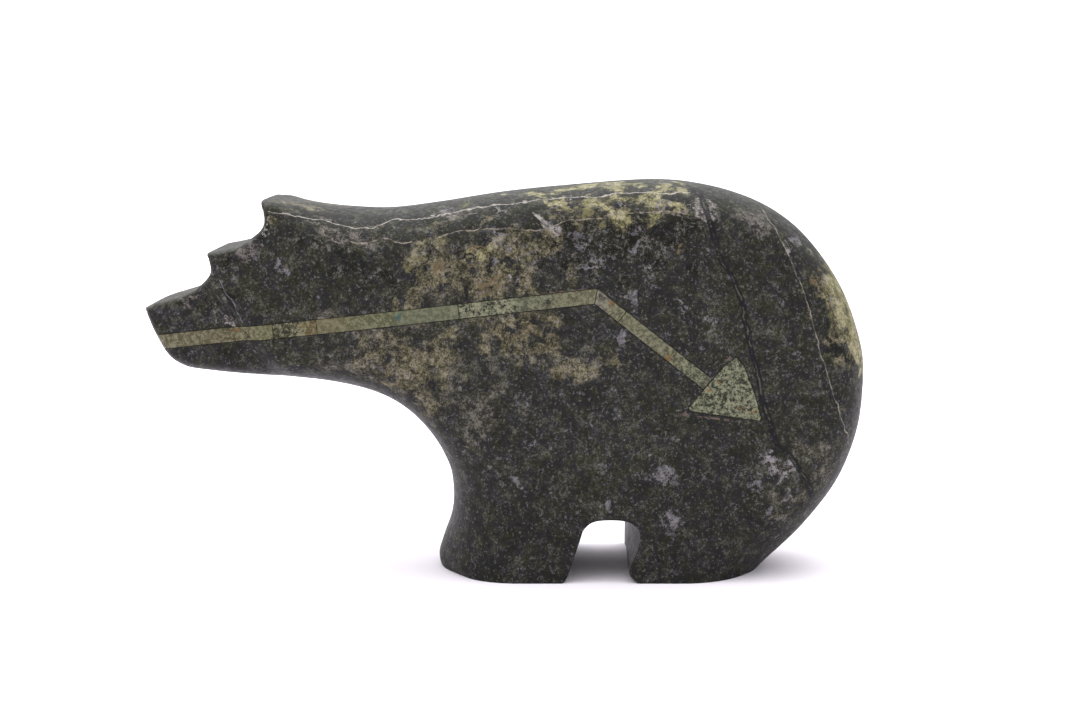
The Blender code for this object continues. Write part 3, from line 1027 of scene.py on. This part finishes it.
def nose_start(start, direction, half, offsets, length, stretches):
    """Where, across the strip, its face starts at the nose."""
    found = []
    for offset in offsets:
        s = np.arange(0, NOSE_REACH * length, NOSE_STEP * PIECE_STEP)
        points = start + direction * s[:, None] + half * offset * turned(direction)
        loop = np.vstack([stretch[:-1, :2] for stretch in stretches])
        level = -channel_floor(0, s, CHANNEL_DEPTH - UNDER_PIECE)
        proud = inside(points, loop) & (surface_depth(points, stretches) > level + PIECE_EDGE_ROUND)
        found.append(s[proud.argmax()])
    return np.array(found)


def arrowhead_outline():
    """The arrowhead's outline with points along its sides, and its floor."""
    corners = np.array(ARROWHEAD) * HUNDREDTH
    loop = []
    for a, b in zip(corners, np.roll(corners, -1, axis=0)):
        count = math.ceil(np.linalg.norm(b - a) / PIECE_STEP)
        loop += [a + (b - a) * i / count for i in range(count)]
    loop = np.array(loop)
    floor = POCKET_DEPTH - UNDER_PIECE - 0.5 * BODY_THICKNESS
    return loop, np.full(len(loop), floor)


def inlay_piece(name, outline, floors, stretches):
    """A solid whose face follows the body's surface, with its edges just rolled over."""
    closed = np.vstack([outline, outline[:1]])
    edge = np.column_stack([closed, np.full(len(closed), PIECE_EDGE_ROUND)])
    rings = ring_points(edge, PIECE_RINGS)
    rings = rings[inside(rings, outline)]
    gridded = grid_points(outline, PIECE_GRID * PIECE_STEP)
    gridded = gridded[inside(gridded, outline)]
    gridded = gridded[nearest_on(gridded, edge)[0] > PIECE_EDGE_ROUND]
    points = thinned(rings, outline, 0.5 * nearest_on(rings, edge)[0])
    points = thinned(gridded, points, np.full(len(gridded), ROOM_ON_GRID * PIECE_STEP))
    rim = list(range(len(outline)))
    flat, _, triangles, *_ = delaunay_2d_cdt([Vector(p) for p in points], [], [rim], 1, SAME_POINT)
    flat = np.array([tuple(point) for point in flat])
    fall = rolled(nearest_on(flat, edge)[0], PIECE_EDGE_ROUND)
    depth = surface_depth(flat, stretches) - fall
    made = bmesh.new()
    face = [made.verts.new((x, -y, z)) for (x, z), y in zip(flat, depth)]
    floor = [made.verts.new((x, y, z)) for (x, z), y in zip(outline, floors)]
    for a, b, c in triangles:
        made.faces.new((face[a], face[b], face[c]))
    _, _, under, *_ = delaunay_2d_cdt([Vector(p) for p in outline], [], [rim], 1, SAME_POINT)
    for a, b, c in under:
        made.faces.new((floor[a], floor[c], floor[b]))
    for i in rim:
        j = (i + 1) % len(rim)
        made.faces.new((face[i], floor[i], floor[j], face[j]))
    piece = new_object(name, mesh_from(made, name))
    shade(piece, SHARP_ABOVE)
    return piece


def body(stretches):
    """The whole body with its feet parted and the heartline's groove cut."""
    halves = []
    for side, far in ((-1, False), (1, True)):
        halves.append(body_half_mesh("bear", stretches, cut_edge(far), side))
    made = bmesh.new()
    for half in halves:
        made.from_mesh(half)
    bmesh.ops.remove_doubles(made, verts=made.verts, dist=MERGE_WITHIN)
    bear = new_object("bear", mesh_from(made, "bear"))
    pocket_loop = offset_loop(np.array(ARROWHEAD) * HUNDREDTH, JOINT_GAP)
    levels = (-BODY_THICKNESS, POCKET_DEPTH - 0.5 * BODY_THICKNESS)
    pocket = loop_prism("pocket_cutter", [[(x, y, z) for x, z in pocket_loop] for y in levels])
    cutters = [feet_cutter(), channel_cutter(), pocket]
    for cutter in cutters:
        boolean(bear, cutter)
    apply_modifiers(bear)
    for cutter in cutters:
        bpy.data.objects.remove(cutter)
    shade(bear, SHARP_ABOVE)
    return bear


def camera():
    data = bpy.data.cameras.new("photo_camera")
    data.sensor_width = SENSOR_WIDTH
    data.lens = LENS
    data.clip_start = 0.01
    made = bpy.data.objects.new("photo_camera", data)
    made.location = CAMERA_PLACE
    made.rotation_euler = (math.radians(90) - CAMERA_DOWN, 0, 0)
    bpy.context.scene.collection.objects.link(made)
    bpy.context.scene.camera = made


def from_pixels(pixels):
    """The places on the near side that the photograph's camera sees at pixels, in millimetres."""
    pixels = np.array(pixels, float)
    across = (pixels[:, 0] - 0.5 * IMAGE_WIDTH) / FOCAL_PIXELS
    up = (0.5 * IMAGE_HEIGHT - pixels[:, 1]) / FOCAL_PIXELS
    forward = np.array([0, math.cos(CAMERA_DOWN), -math.sin(CAMERA_DOWN)])
    upward = np.array([0, math.sin(CAMERA_DOWN), math.cos(CAMERA_DOWN)])
    rays = forward + np.outer(across, (1, 0, 0)) + np.outer(up, upward)
    place = np.array(CAMERA_PLACE)
    depth = np.full(len(pixels), 0.5 * BODY_THICKNESS)
    for _ in range(SIGHT_STEPS):
        hits = place + rays * ((-depth - place[1]) / rays[:, 1])[:, None]
        depth = 0.5 * (depth + surface_depth(hits[:, [0, 2]], STRETCHED))
    return hits * 1000


def shown(colour):
    """A colour given as red, green and blue from 0 to 255 on screen, as a shader takes it.

    A fourth number, where there is one, becomes its alpha.
    """
    share = np.array(colour[:3], float) / 255
    straight = np.where(share <= 0.04045, share / 12.92, ((share + 0.055) / 1.055) ** 2.4)
    return tuple(straight * ALBEDO_GAIN) + (tuple(colour[3:]) or (1.0,))


class Graph:
    """A material's nodes, with positions in millimetres. Each method returns a new node's output."""

    def __init__(self, name):
        self.material = bpy.data.materials.new(name)
        self.material.use_nodes = True
        self.tree = self.material.node_tree
        self.shader = self.tree.nodes["Principled BSDF"]
        self.place = self.scaled(self.add("TexCoord").outputs["Object"], 1000.0)

    def add(self, kind, **settings):
        node = self.tree.nodes.new("ShaderNode" + kind)
        for key, value in settings.items():
            setattr(node, key, value)
        return node

    def feed(self, socket, value):
        if isinstance(value, bpy.types.NodeSocket):
            self.tree.links.new(value, socket)
        else:
            socket.default_value = value

    def math(self, operation, a, b=0.0, c=0.0):
        node = self.add("Math", operation=operation)
        for socket, value in zip(node.inputs, (a, b, c)):
            self.feed(socket, value)
        return node.outputs[0]

    def product(self, first, *others):
        for other in others:
            first = self.math("MULTIPLY", first, other)
        return first

    def total(self, first, *others):
        for other in others:
            first = self.math("ADD", first, other)
        return first

    def most(self, first, *others):
        for other in others:
            first = self.math("MAXIMUM", first, other)
        return first

    def vector(self, operation, a, b=(0, 0, 0)):
        node = self.add("VectorMath", operation=operation)
        self.feed(node.inputs[0], a)
        self.feed(node.inputs[1], b)
        return node.outputs["Value" if operation in ("LENGTH", "DOT_PRODUCT") else "Vector"]

    def scaled(self, vector, factor):
        node = self.add("VectorMath", operation="SCALE")
        self.feed(node.inputs[0], vector)
        self.feed(node.inputs["Scale"], factor)
        return node.outputs["Vector"]

    def axis(self, name, vector=None):
        node = self.add("SeparateXYZ")
        self.feed(node.inputs[0], vector or self.place)
        return node.outputs[name]

    def noise(self, size, detail=3.0, roughness=0.5, shift=0.0, place=None):
        """Noise of about that feature size in millimetres, from 0 to 1."""
        moved = self.vector("ADD", place or self.place, (shift, shift, shift))
        node = self.add("TexNoise", noise_dimensions="3D")
        self.feed(node.inputs["Vector"], moved)
        self.feed(node.inputs["Scale"], 1.0 / size)
        self.feed(node.inputs["Detail"], detail)
        self.feed(node.inputs["Roughness"], roughness)
        return node.outputs[0]

    def swing(self, noise, amount):
        """Noise turned into a number that swings about 0 by up to that amount."""
        return self.math("MULTIPLY_ADD", noise, 2.0 * amount, -amount)

    def warped(self, size, amount, detail=2.0, place=None):
        """The position moved about by noise."""
        node = self.add("TexNoise", noise_dimensions="3D")
        place = place or self.place
        self.feed(node.inputs["Vector"], place)
        self.feed(node.inputs["Scale"], 1.0 / size)
        self.feed(node.inputs["Detail"], detail)
        parts = self.add("SeparateColor")
        self.feed(parts.inputs[0], node.outputs[1])
        swings = [self.swing(part, amount) for part in parts.outputs]
        joined = self.add("CombineXYZ")
        for socket, swing in zip(joined.inputs, swings):
            self.feed(socket, swing)
        return self.vector("ADD", place, joined.outputs[0])

    def fade(self, value, start, end, low=0.0, high=1.0):
        """A smooth step from low at start to high at end."""
        node = self.add("MapRange", interpolation_type="SMOOTHSTEP")
        ends = (start, end, low, high) if start < end else (end, start, high, low)
        self.feed(node.inputs[0], value)
        for socket, number in zip(node.inputs[1:5], ends):
            self.feed(socket, number)
        return node.outputs[0]

    def mix(self, factor, a, b):
        """Colour a where the factor is 0 and colour b where it is 1."""
        node = self.add("Mix", data_type="RGBA")
        self.feed(node.inputs[0], factor)
        self.feed(node.inputs[6], a if isinstance(a, bpy.types.NodeSocket) else shown(a))
        self.feed(node.inputs[7], b if isinstance(b, bpy.types.NodeSocket) else shown(b))
        return node.outputs[2]

    def ramp(self, value, stops):
        node = self.add("ValToRGB")
        elements = node.color_ramp.elements
        while len(elements) < len(stops):
            elements.new(0.5)
        for element, (position, colour) in zip(elements, stops):
            element.position = position
            element.color = shown(colour)
        self.feed(node.inputs[0], value)
        return node.outputs

    def blobs(self, spots, depth, place=None):
        """Ellipsoids at pixels of the photograph: 1 in the middle of each, down to 0 at its edge.

        Each spot is (u, v, half width, half height, tilt in degrees), and its depth is in millimetres.
        """
        nearest = 1.0
        centres = from_pixels([spot[:2] for spot in spots])
        for tilt in sorted({spot[4] for spot in spots}):
            turn = math.radians(tilt)
            cosine, sine = math.cos(turn), math.sin(turn)
            turned_place = self.add("VectorRotate", rotation_type="Y_AXIS")
            self.feed(turned_place.inputs["Vector"], place or self.place)
            self.feed(turned_place.inputs["Angle"], -turn)
            for (x, y, z), (_, _, wide, high, own_tilt) in zip(centres, spots):
                if own_tilt != tilt:
                    continue
                centre = (x * cosine - z * sine, y, x * sine + z * cosine)
                offset = self.vector("SUBTRACT", turned_place.outputs[0], centre)
                size = (wide * MM_PER_PIXEL, depth, high * MM_PER_PIXEL)
                length = self.vector("LENGTH", self.vector("DIVIDE", offset, size))
                nearest = self.math("MINIMUM", nearest, length)
        return self.math("SUBTRACT", 1.0, nearest)

    def ragged(self, mask, noise, spread=5.0, start=0.15, end=0.6):
        """A mask with its outline broken up by noise."""
        return self.fade(self.product(mask, self.math("ADD", self.swing(noise, spread), 1.0)), start, end)

    def curve(self, value, points):
        """A smooth function through the given points, flat beyond them."""
        points = sorted(points)
        lows, highs = np.min(points, axis=0), np.max(points, axis=0)
        spans = highs - lows
        share = self.math("DIVIDE", self.math("SUBTRACT", value, lows[0]), spans[0])
        node = self.add("FloatCurve")
        line = node.mapping.curves[0]
        while len(line.points) < len(points):
            line.points.new(0.5, 0.5)
        for point, place in zip(line.points, points):
            point.location = (np.array(place) - lows) / spans
            point.handle_type = "AUTO_CLAMPED"
        node.mapping.update()
        self.feed(node.inputs["Value"], share)
        return self.math("MULTIPLY_ADD", node.outputs[0], spans[1], lows[1])

    def vein(self, pixels, along, place):
        """The distance in millimetres to a line drawn through pixels, large beyond its two ends.

        Along X it is drawn as a height for each X, and along Z as an X for each height.
        """
        places = from_pixels(pixels)
        x, z = self.axis("X", place), self.axis("Z", place)
        pairs = places[:, [0, 2]] if along == "X" else places[:, [2, 0]]
        first, second = (x, z) if along == "X" else (z, x)
        line = self.curve(first, [tuple(pair) for pair in pairs])
        distance = self.math("ABSOLUTE", self.math("SUBTRACT", second, line))
        low, high = pairs[:, 0].min(), pairs[:, 0].max()
        before = self.fade(first, low, low - VEIN_END)
        after = self.fade(first, high, high + VEIN_END)
        return self.total(distance, self.product(self.total(before, after), VEIN_END_LIFT))


def stone():
    """Dark polished serpentine with mottling, specks, ochre zones and veins, with some painted shade and a
    few painted highlights.
    """
    g = Graph("dark_green_serpentine")
    near = g.fade(g.axis("Y"), 0.0, -5.0)
    far = g.math("SUBTRACT", 1.0, near)

    def near_blobs(spots, depth, place):
        return g.product(g.blobs(spots, depth, place), near)

    loose = g.warped(9.0, 22.0, 3.0)
    close = g.warped(2.4, 5.0, 3.0)
    mottle = g.math("MULTIPLY_ADD", g.noise(3.8, 5.0, 1.0, shift=3.0), 5.0, -2.0)
    grain = g.noise(1.5, 4.0, 0.8, shift=7.0)
    hue = g.noise(3.5, 5.0, 0.75, shift=17.0)
    cloud = g.noise(15.0, 3.0, 0.55, shift=23.0)

    # Ground: a dark grey one, a greener one and a nearly black one. The nearly black one also paints shade:
    # under the crease of the neck's bevel and on the muzzle's dark side facet.
    plain = g.ramp(mottle, PLAIN_GROUND)[0]
    green_zone = g.most(
        near_blobs(GREEN_ZONES, 14.0, loose),
        g.product(g.fade(cloud, 0.47, 0.56), far, 0.8),
    )
    green = g.fade(g.total(g.product(green_zone, 1.3), g.swing(hue, 7.0)), -0.4, 1.2)
    colour = g.mix(green, plain, g.ramp(mottle, GREEN_GROUND)[0])
    dark_zone_and_shade = near_blobs(DARK_ZONES_AND_SHADE, 12.0, loose)
    darkened_and_shaded = g.product(g.ragged(dark_zone_and_shade, hue, 3.0, 0.0, 0.35), 0.95)
    colour = g.mix(darkened_and_shaded, colour, g.ramp(mottle, BLACK_GROUND_AND_SHADE)[0])

    # Fine grey flecks
    flecks = g.fade(g.noise(0.75, 2.0, 0.7, shift=37.0), 0.575, 0.68)
    colour = g.mix(g.product(flecks, 0.7), colour, (120, 119, 116))

    # Granular zones, grey to ochre, one of them a painted lit band on the neck's bevel
    patches = g.product(g.fade(g.noise(30.0, 3.0, 0.6, shift=31.0), 0.50, 0.64), far)
    ochre_zone = g.most(near_blobs(OCHRE_ZONES, 10.0, loose), g.product(patches, 0.2))
    grey_zone_and_lit_band = g.most(near_blobs(GRANULAR_ZONES_AND_LIT_BAND, 10.0, loose), g.product(patches, 0.5))
    ochre = g.ragged(ochre_zone, hue, 7.0, 0.0, 0.5)
    granular_and_lit_band = g.ragged(grey_zone_and_lit_band, g.noise(4.6, 5.0, 0.85, shift=11.0), 7.0, 0.0, 0.6)
    colour = g.mix(g.product(granular_and_lit_band, 0.85), colour, g.ramp(mottle, GREY_MINERAL_AND_LIT_BAND)[0])
    colour = g.mix(g.product(ochre, 0.92), colour, g.ramp(mottle, OCHRE_MINERAL)[0])
    crumbs = g.noise(1.0, 3.0, 0.9, shift=41.0)
    grainy = g.most(ochre, granular_and_lit_band)
    colour = g.mix(g.product(grainy, g.fade(crumbs, 0.49, 0.41), 0.7), colour, (50, 49, 38))
    colour = g.mix(g.product(grainy, g.fade(crumbs, 0.54, 0.62), 0.5), colour, (160, 152, 128))
    pale = g.ragged(near_blobs(PALE_ZONES, 12.0, loose), hue, 5.0, 0.0, 0.4)
    # Pale zones, and the rump's yellow patch, which is partly a painted highlight on its rounded edge.
    lens_depth = g.fade(g.axis("Y"), 14.0, -8.0)
    lens = g.ragged(g.product(g.blobs(RUMP_LENS_AND_HIGHLIGHT, 26.0, close), lens_depth), hue, 2.0, 0.0, 0.25)
    colour = g.mix(g.most(pale, lens), colour, g.ramp(mottle, PALE_MINERAL_AND_HIGHLIGHT)[0])
    for spots, tint in ((LEMON_SPOTS, (138, 133, 92)), (ORANGE_SPOTS, (138, 120, 90))):
        dots = g.ragged(near_blobs(spots, 6.0, close), grain, 8.0, 0.1, 0.9)
        colour = g.mix(g.product(dots, 0.7), colour, tint)

    # Grey-lilac blotches, dark spots with some painted shade, hazes, and white clusters with one painted
    # highlight
    lilac_spots = near_blobs(LILAC_SPOTS, 6.0, close)
    stray = g.product(g.fade(g.noise(2.6, 4.0, 0.8, shift=2.0), 0.60, 0.68), 0.8)
    lilac = g.most(g.ragged(lilac_spots, grain, 8.0, 0.1, 0.6), stray)
    colour = g.mix(g.product(lilac, 0.8), colour, g.ramp(mottle, LILAC_MINERAL)[0])
    # Dark spots, some of them painted shade along creases.
    ink_and_shade = g.ragged(near_blobs(INK_SPOTS_AND_SHADE, 9.0, close), grain, 4.0, 0.1, 0.6)
    colour = g.mix(g.product(ink_and_shade, 0.85), colour, (34, 35, 36))
    haze = g.ragged(near_blobs(PINK_HAZES, 7.0, close), grain, 8.0, 0.1, 0.8)
    gritty = g.fade(crumbs, 0.45, 0.55, 0.25, 0.9)
    colour = g.mix(g.product(haze, gritty), colour, (142, 134, 129))
    # White clusters, one of them a painted highlight at the foot of the ear.
    white_and_highlight = g.ragged(near_blobs(WHITE_CLUSTERS_AND_HIGHLIGHT, 5.0, close), grain, 7.0, 0.1, 0.7)
    colour = g.mix(g.product(white_and_highlight, gritty), colour, (186, 179, 177))

    # Veins and hairlines
    lifted = g.warped(1.1, 0.35, 2.0, g.warped(5.0, 0.9, 2.0))
    broken = g.fade(g.noise(1.6, 3.0, 0.6, shift=2.0), 0.44, 0.56)
    for pixels, along, outer, inner, weakest, strongest, tint in NEAR_VEINS:
        line = g.product(g.fade(g.vein(pixels, along, lifted), outer, inner), near)
        strength = g.fade(broken, 0.0, 1.0, weakest, strongest)
        colour = g.mix(g.product(line, strength), colour, tint)
    fault = g.vein(FAULT, "Z", lifted)
    band = g.ragged(g.fade(fault, 1.0, 0.35), grain, 4.0, 0.0, 0.5)
    colour = g.mix(g.product(band, 0.85), colour, (35, 36, 42))
    core = g.product(g.fade(fault, 0.28, 0.04), g.fade(g.noise(3.0, 4.0, 0.7, shift=4.0), 0.48, 0.56))
    colour = g.mix(g.product(core, 0.55), colour, (132, 126, 104))
    rump = g.fade(g.vein(RUMP_VEIN, "Z", lifted), 0.23, 0.03)
    colour = g.mix(g.product(rump, g.fade(broken, 0.0, 1.0, 0.25, 0.8)), colour, (178, 172, 156))

    scratch = g.fade(g.blobs(SCRATCHES, 3.0, lifted), 0.0, 0.5)
    colour = g.mix(g.product(scratch, g.fade(broken, 0.0, 1.0, 0.4, 0.9)), colour, (196, 190, 184))

    glue = g.fade(g.blobs(GLUE_LINES, 3.0), 0.0, 0.6)
    colour = g.mix(g.product(glue, broken, 0.8), colour, (128, 112, 100))

    # Walls of the leg gap, left ground and paler
    sideways = g.math("ABSOLUTE", g.axis("X", g.add("NewGeometry").outputs["Normal"]))
    across = g.math("ABSOLUTE", g.math("SUBTRACT", g.axis("X"), GAP_MIDDLE))
    beside = g.fade(across, GAP_REACH, GAP_REACH - 2.0)
    in_gap = g.product(beside, g.fade(g.axis("Z"), GAP_REACH + 4.0, GAP_REACH))
    streaks = g.noise(0.6, 2.0, 0.7, shift=53.0, place=g.vector("MULTIPLY", g.place, (1.0, 1.0, 0.08)))
    ground = g.product(in_gap, g.fade(sideways, 0.75, 0.95), g.fade(streaks, 0.42, 0.58, 0.15, 0.75))
    colour = g.mix(ground, colour, (128, 127, 124))

    g.feed(g.shader.inputs["Base Color"], colour)
    g.shader.inputs["Specular IOR Level"].default_value = STONE_GLOSS
    g.feed(g.shader.inputs["Roughness"], g.fade(grain, 0.42, 0.58, *STONE_ROUGHNESS))
    bump = g.add("Bump")
    bump.inputs["Strength"].default_value = BUMP_STRENGTH
    bump.inputs["Distance"].default_value = BUMP_HEIGHT
    g.feed(bump.inputs["Height"], grain)
    g.feed(g.shader.inputs["Normal"], bump.outputs[0])
    return g.material


def inlay_stone(name, leg, stops, fleck):
    """A polished inlay stone whose colour and speckle change along its strip."""
    g = Graph(name)
    start, direction, length, _ = strip_legs(0)[leg]
    offset = g.vector("SUBTRACT", g.warped(3.0, 5.0), (start[0] * 1000, 0, start[1] * 1000))
    along = g.vector("DOT_PRODUCT", offset, (direction[0], 0, direction[1]))
    share = g.math("DIVIDE", along, length * 1000)
    hits = from_pixels([(u, v) for u, v, _ in stops]) / 1000
    places = [((hit[[0, 2]] - start) @ direction / length, stop[2]) for hit, stop in zip(hits, stops)]
    mottle = g.math("MULTIPLY_ADD", g.noise(1.4, 3.0, 1.0), 6.0, -2.5)
    colour, speckle = g.ramp(share, sorted(places))
    light = g.mix(0.5, colour, (190, 192, 160))
    colour = g.mix(g.product(g.fade(mottle, 0.5, 1.0), speckle), colour, light)
    colour = g.mix(g.product(g.fade(mottle, 0.5, 0.1), speckle), colour, fleck)
    close = g.warped(1.2, 2.0)
    tinted = [
        (INLAY_ORANGE_SPOTS, (142, 106, 62)),
        (INLAY_TEAL_SPOTS, (74, 104, 104)),
        (INLAY_INK_SPOTS, (46, 48, 44)),
    ]
    for spots, tint in tinted:
        colour = g.mix(g.product(g.fade(g.blobs(spots, 4.0, close), 0.0, 0.6), 0.8), colour, tint)
    g.feed(g.shader.inputs["Base Color"], colour)
    g.shader.inputs["Specular IOR Level"].default_value = STONE_GLOSS
    g.feed(g.shader.inputs["Roughness"], STONE_ROUGHNESS[0])
    return g.material


def studio():
    """A plain pale floor under soft light from above, with the room behind the camera dark."""
    made = bmesh.new()
    bmesh.ops.create_grid(made, x_segments=1, y_segments=1, size=FLOOR_SIZE)
    floor = new_object("floor", mesh_from(made, "floor"))
    g = Graph("pale_floor")
    g.feed(g.shader.inputs["Base Color"], FLOOR_COLOUR)
    g.feed(g.shader.inputs["Roughness"], 1.0)
    g.shader.inputs["Specular IOR Level"].default_value = 0.0
    floor.data.materials.append(g.material)

    data = bpy.data.lights.new("overhead", "AREA")
    data.shape = "RECTANGLE"
    data.size, data.size_y = OVERHEAD_SIZE
    data.energy = OVERHEAD_POWER
    light = bpy.data.objects.new("overhead", data)
    light.location = OVERHEAD_PLACE
    aim = Vector(OVERHEAD_AIM) - Vector(OVERHEAD_PLACE)
    light.rotation_euler = aim.to_track_quat("-Z", "Y").to_euler()
    bpy.context.scene.collection.objects.link(light)

    world = bpy.data.worlds.new("studio")
    bpy.context.scene.world = world
    world.use_nodes = True
    tree = world.node_tree
    tree.nodes.clear()
    coordinate = tree.nodes.new("ShaderNodeTexCoord")
    lean = tree.nodes.new("ShaderNodeVectorMath")
    lean.operation = "DOT_PRODUCT"
    lean.inputs[1].default_value = ROOM_LEAN
    tree.links.new(coordinate.outputs["Generated"], lean.inputs[0])
    depth = tree.nodes.new("ShaderNodeMapRange")
    depth.interpolation_type = "SMOOTHSTEP"
    tree.links.new(lean.outputs["Value"], depth.inputs[0])
    for socket, number in zip(depth.inputs[1:5], ROOM_LIGHT):
        socket.default_value = number
    path = tree.nodes.new("ShaderNodeLightPath")
    strength = tree.nodes.new("ShaderNodeMix")
    tree.links.new(path.outputs["Is Camera Ray"], strength.inputs[0])
    tree.links.new(depth.outputs[0], strength.inputs[2])
    strength.inputs[3].default_value = BACKDROP
    background = tree.nodes.new("ShaderNodeBackground")
    background.inputs["Color"].default_value = (1.0, 1.0, 1.0, 1.0)
    tree.links.new(strength.outputs[0], background.inputs["Strength"])
    output = tree.nodes.new("ShaderNodeOutputWorld")
    tree.links.new(background.outputs[0], output.inputs[0])
    view = bpy.context.scene.view_settings
    view.view_transform = "Standard"
    view.look = "None"


def dress(piece, node):
    """Puts a finished piece in its node's place, a hair smaller so that it stays within the solids' box."""
    piece.data.transform(Matrix.Scale(WITHIN_BOX, 4))
    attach(piece, "root")
    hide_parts(node)


camera()
STRETCHED = outline_stretches(OUTLINE_STEP)

bear = body(STRETCHED)
bear.data.materials.clear()
bear.data.materials.append(stone())
dress(bear, "bear_body")

STRIPS = [
    ("muzzle_strip", "ochre_inlay", 0, 0, UPPER_JOINTS[0], MUZZLE_COLOURS, (84, 78, 62)),
    ("cheek_strip", "ochre_inlay", 0, UPPER_JOINTS[0], UPPER_JOINTS[1], CHEEK_COLOURS, (58, 57, 47)),
    ("neck_strip", "olive_inlay", 0, UPPER_JOINTS[1], UPPER_JOINTS[2], NECK_COLOURS, (72, 74, 60)),
    ("shoulder_strip", "green_inlay", 0, UPPER_JOINTS[2], 1, SHOULDER_COLOURS, (62, 64, 54)),
    ("bend_piece", "green_inlay", 1, 0, LOWER_JOINT, BEND_COLOURS, (66, 65, 57)),
    ("flank_strip", "green_inlay", 1, LOWER_JOINT, 1, FLANK_COLOURS, (64, 66, 55)),
]
for name, slot, leg, first, last, colours, fleck in STRIPS:
    outline, floors = strip_outline(leg, first, last, STRETCHED)
    piece = inlay_piece(name, outline, floors, STRETCHED)
    piece.data.materials.append(inlay_stone(name + "_stone", leg, colours, fleck))
    dress(piece, "inlay_" + name)
outline, floors = arrowhead_outline()
arrowhead = inlay_piece("arrowhead", outline, floors, STRETCHED)
arrowhead.data.materials.append(inlay_stone("arrowhead_stone", 1, ARROW_COLOURS, (58, 62, 52)))
dress(arrowhead, "inlay_arrowhead")

studio()
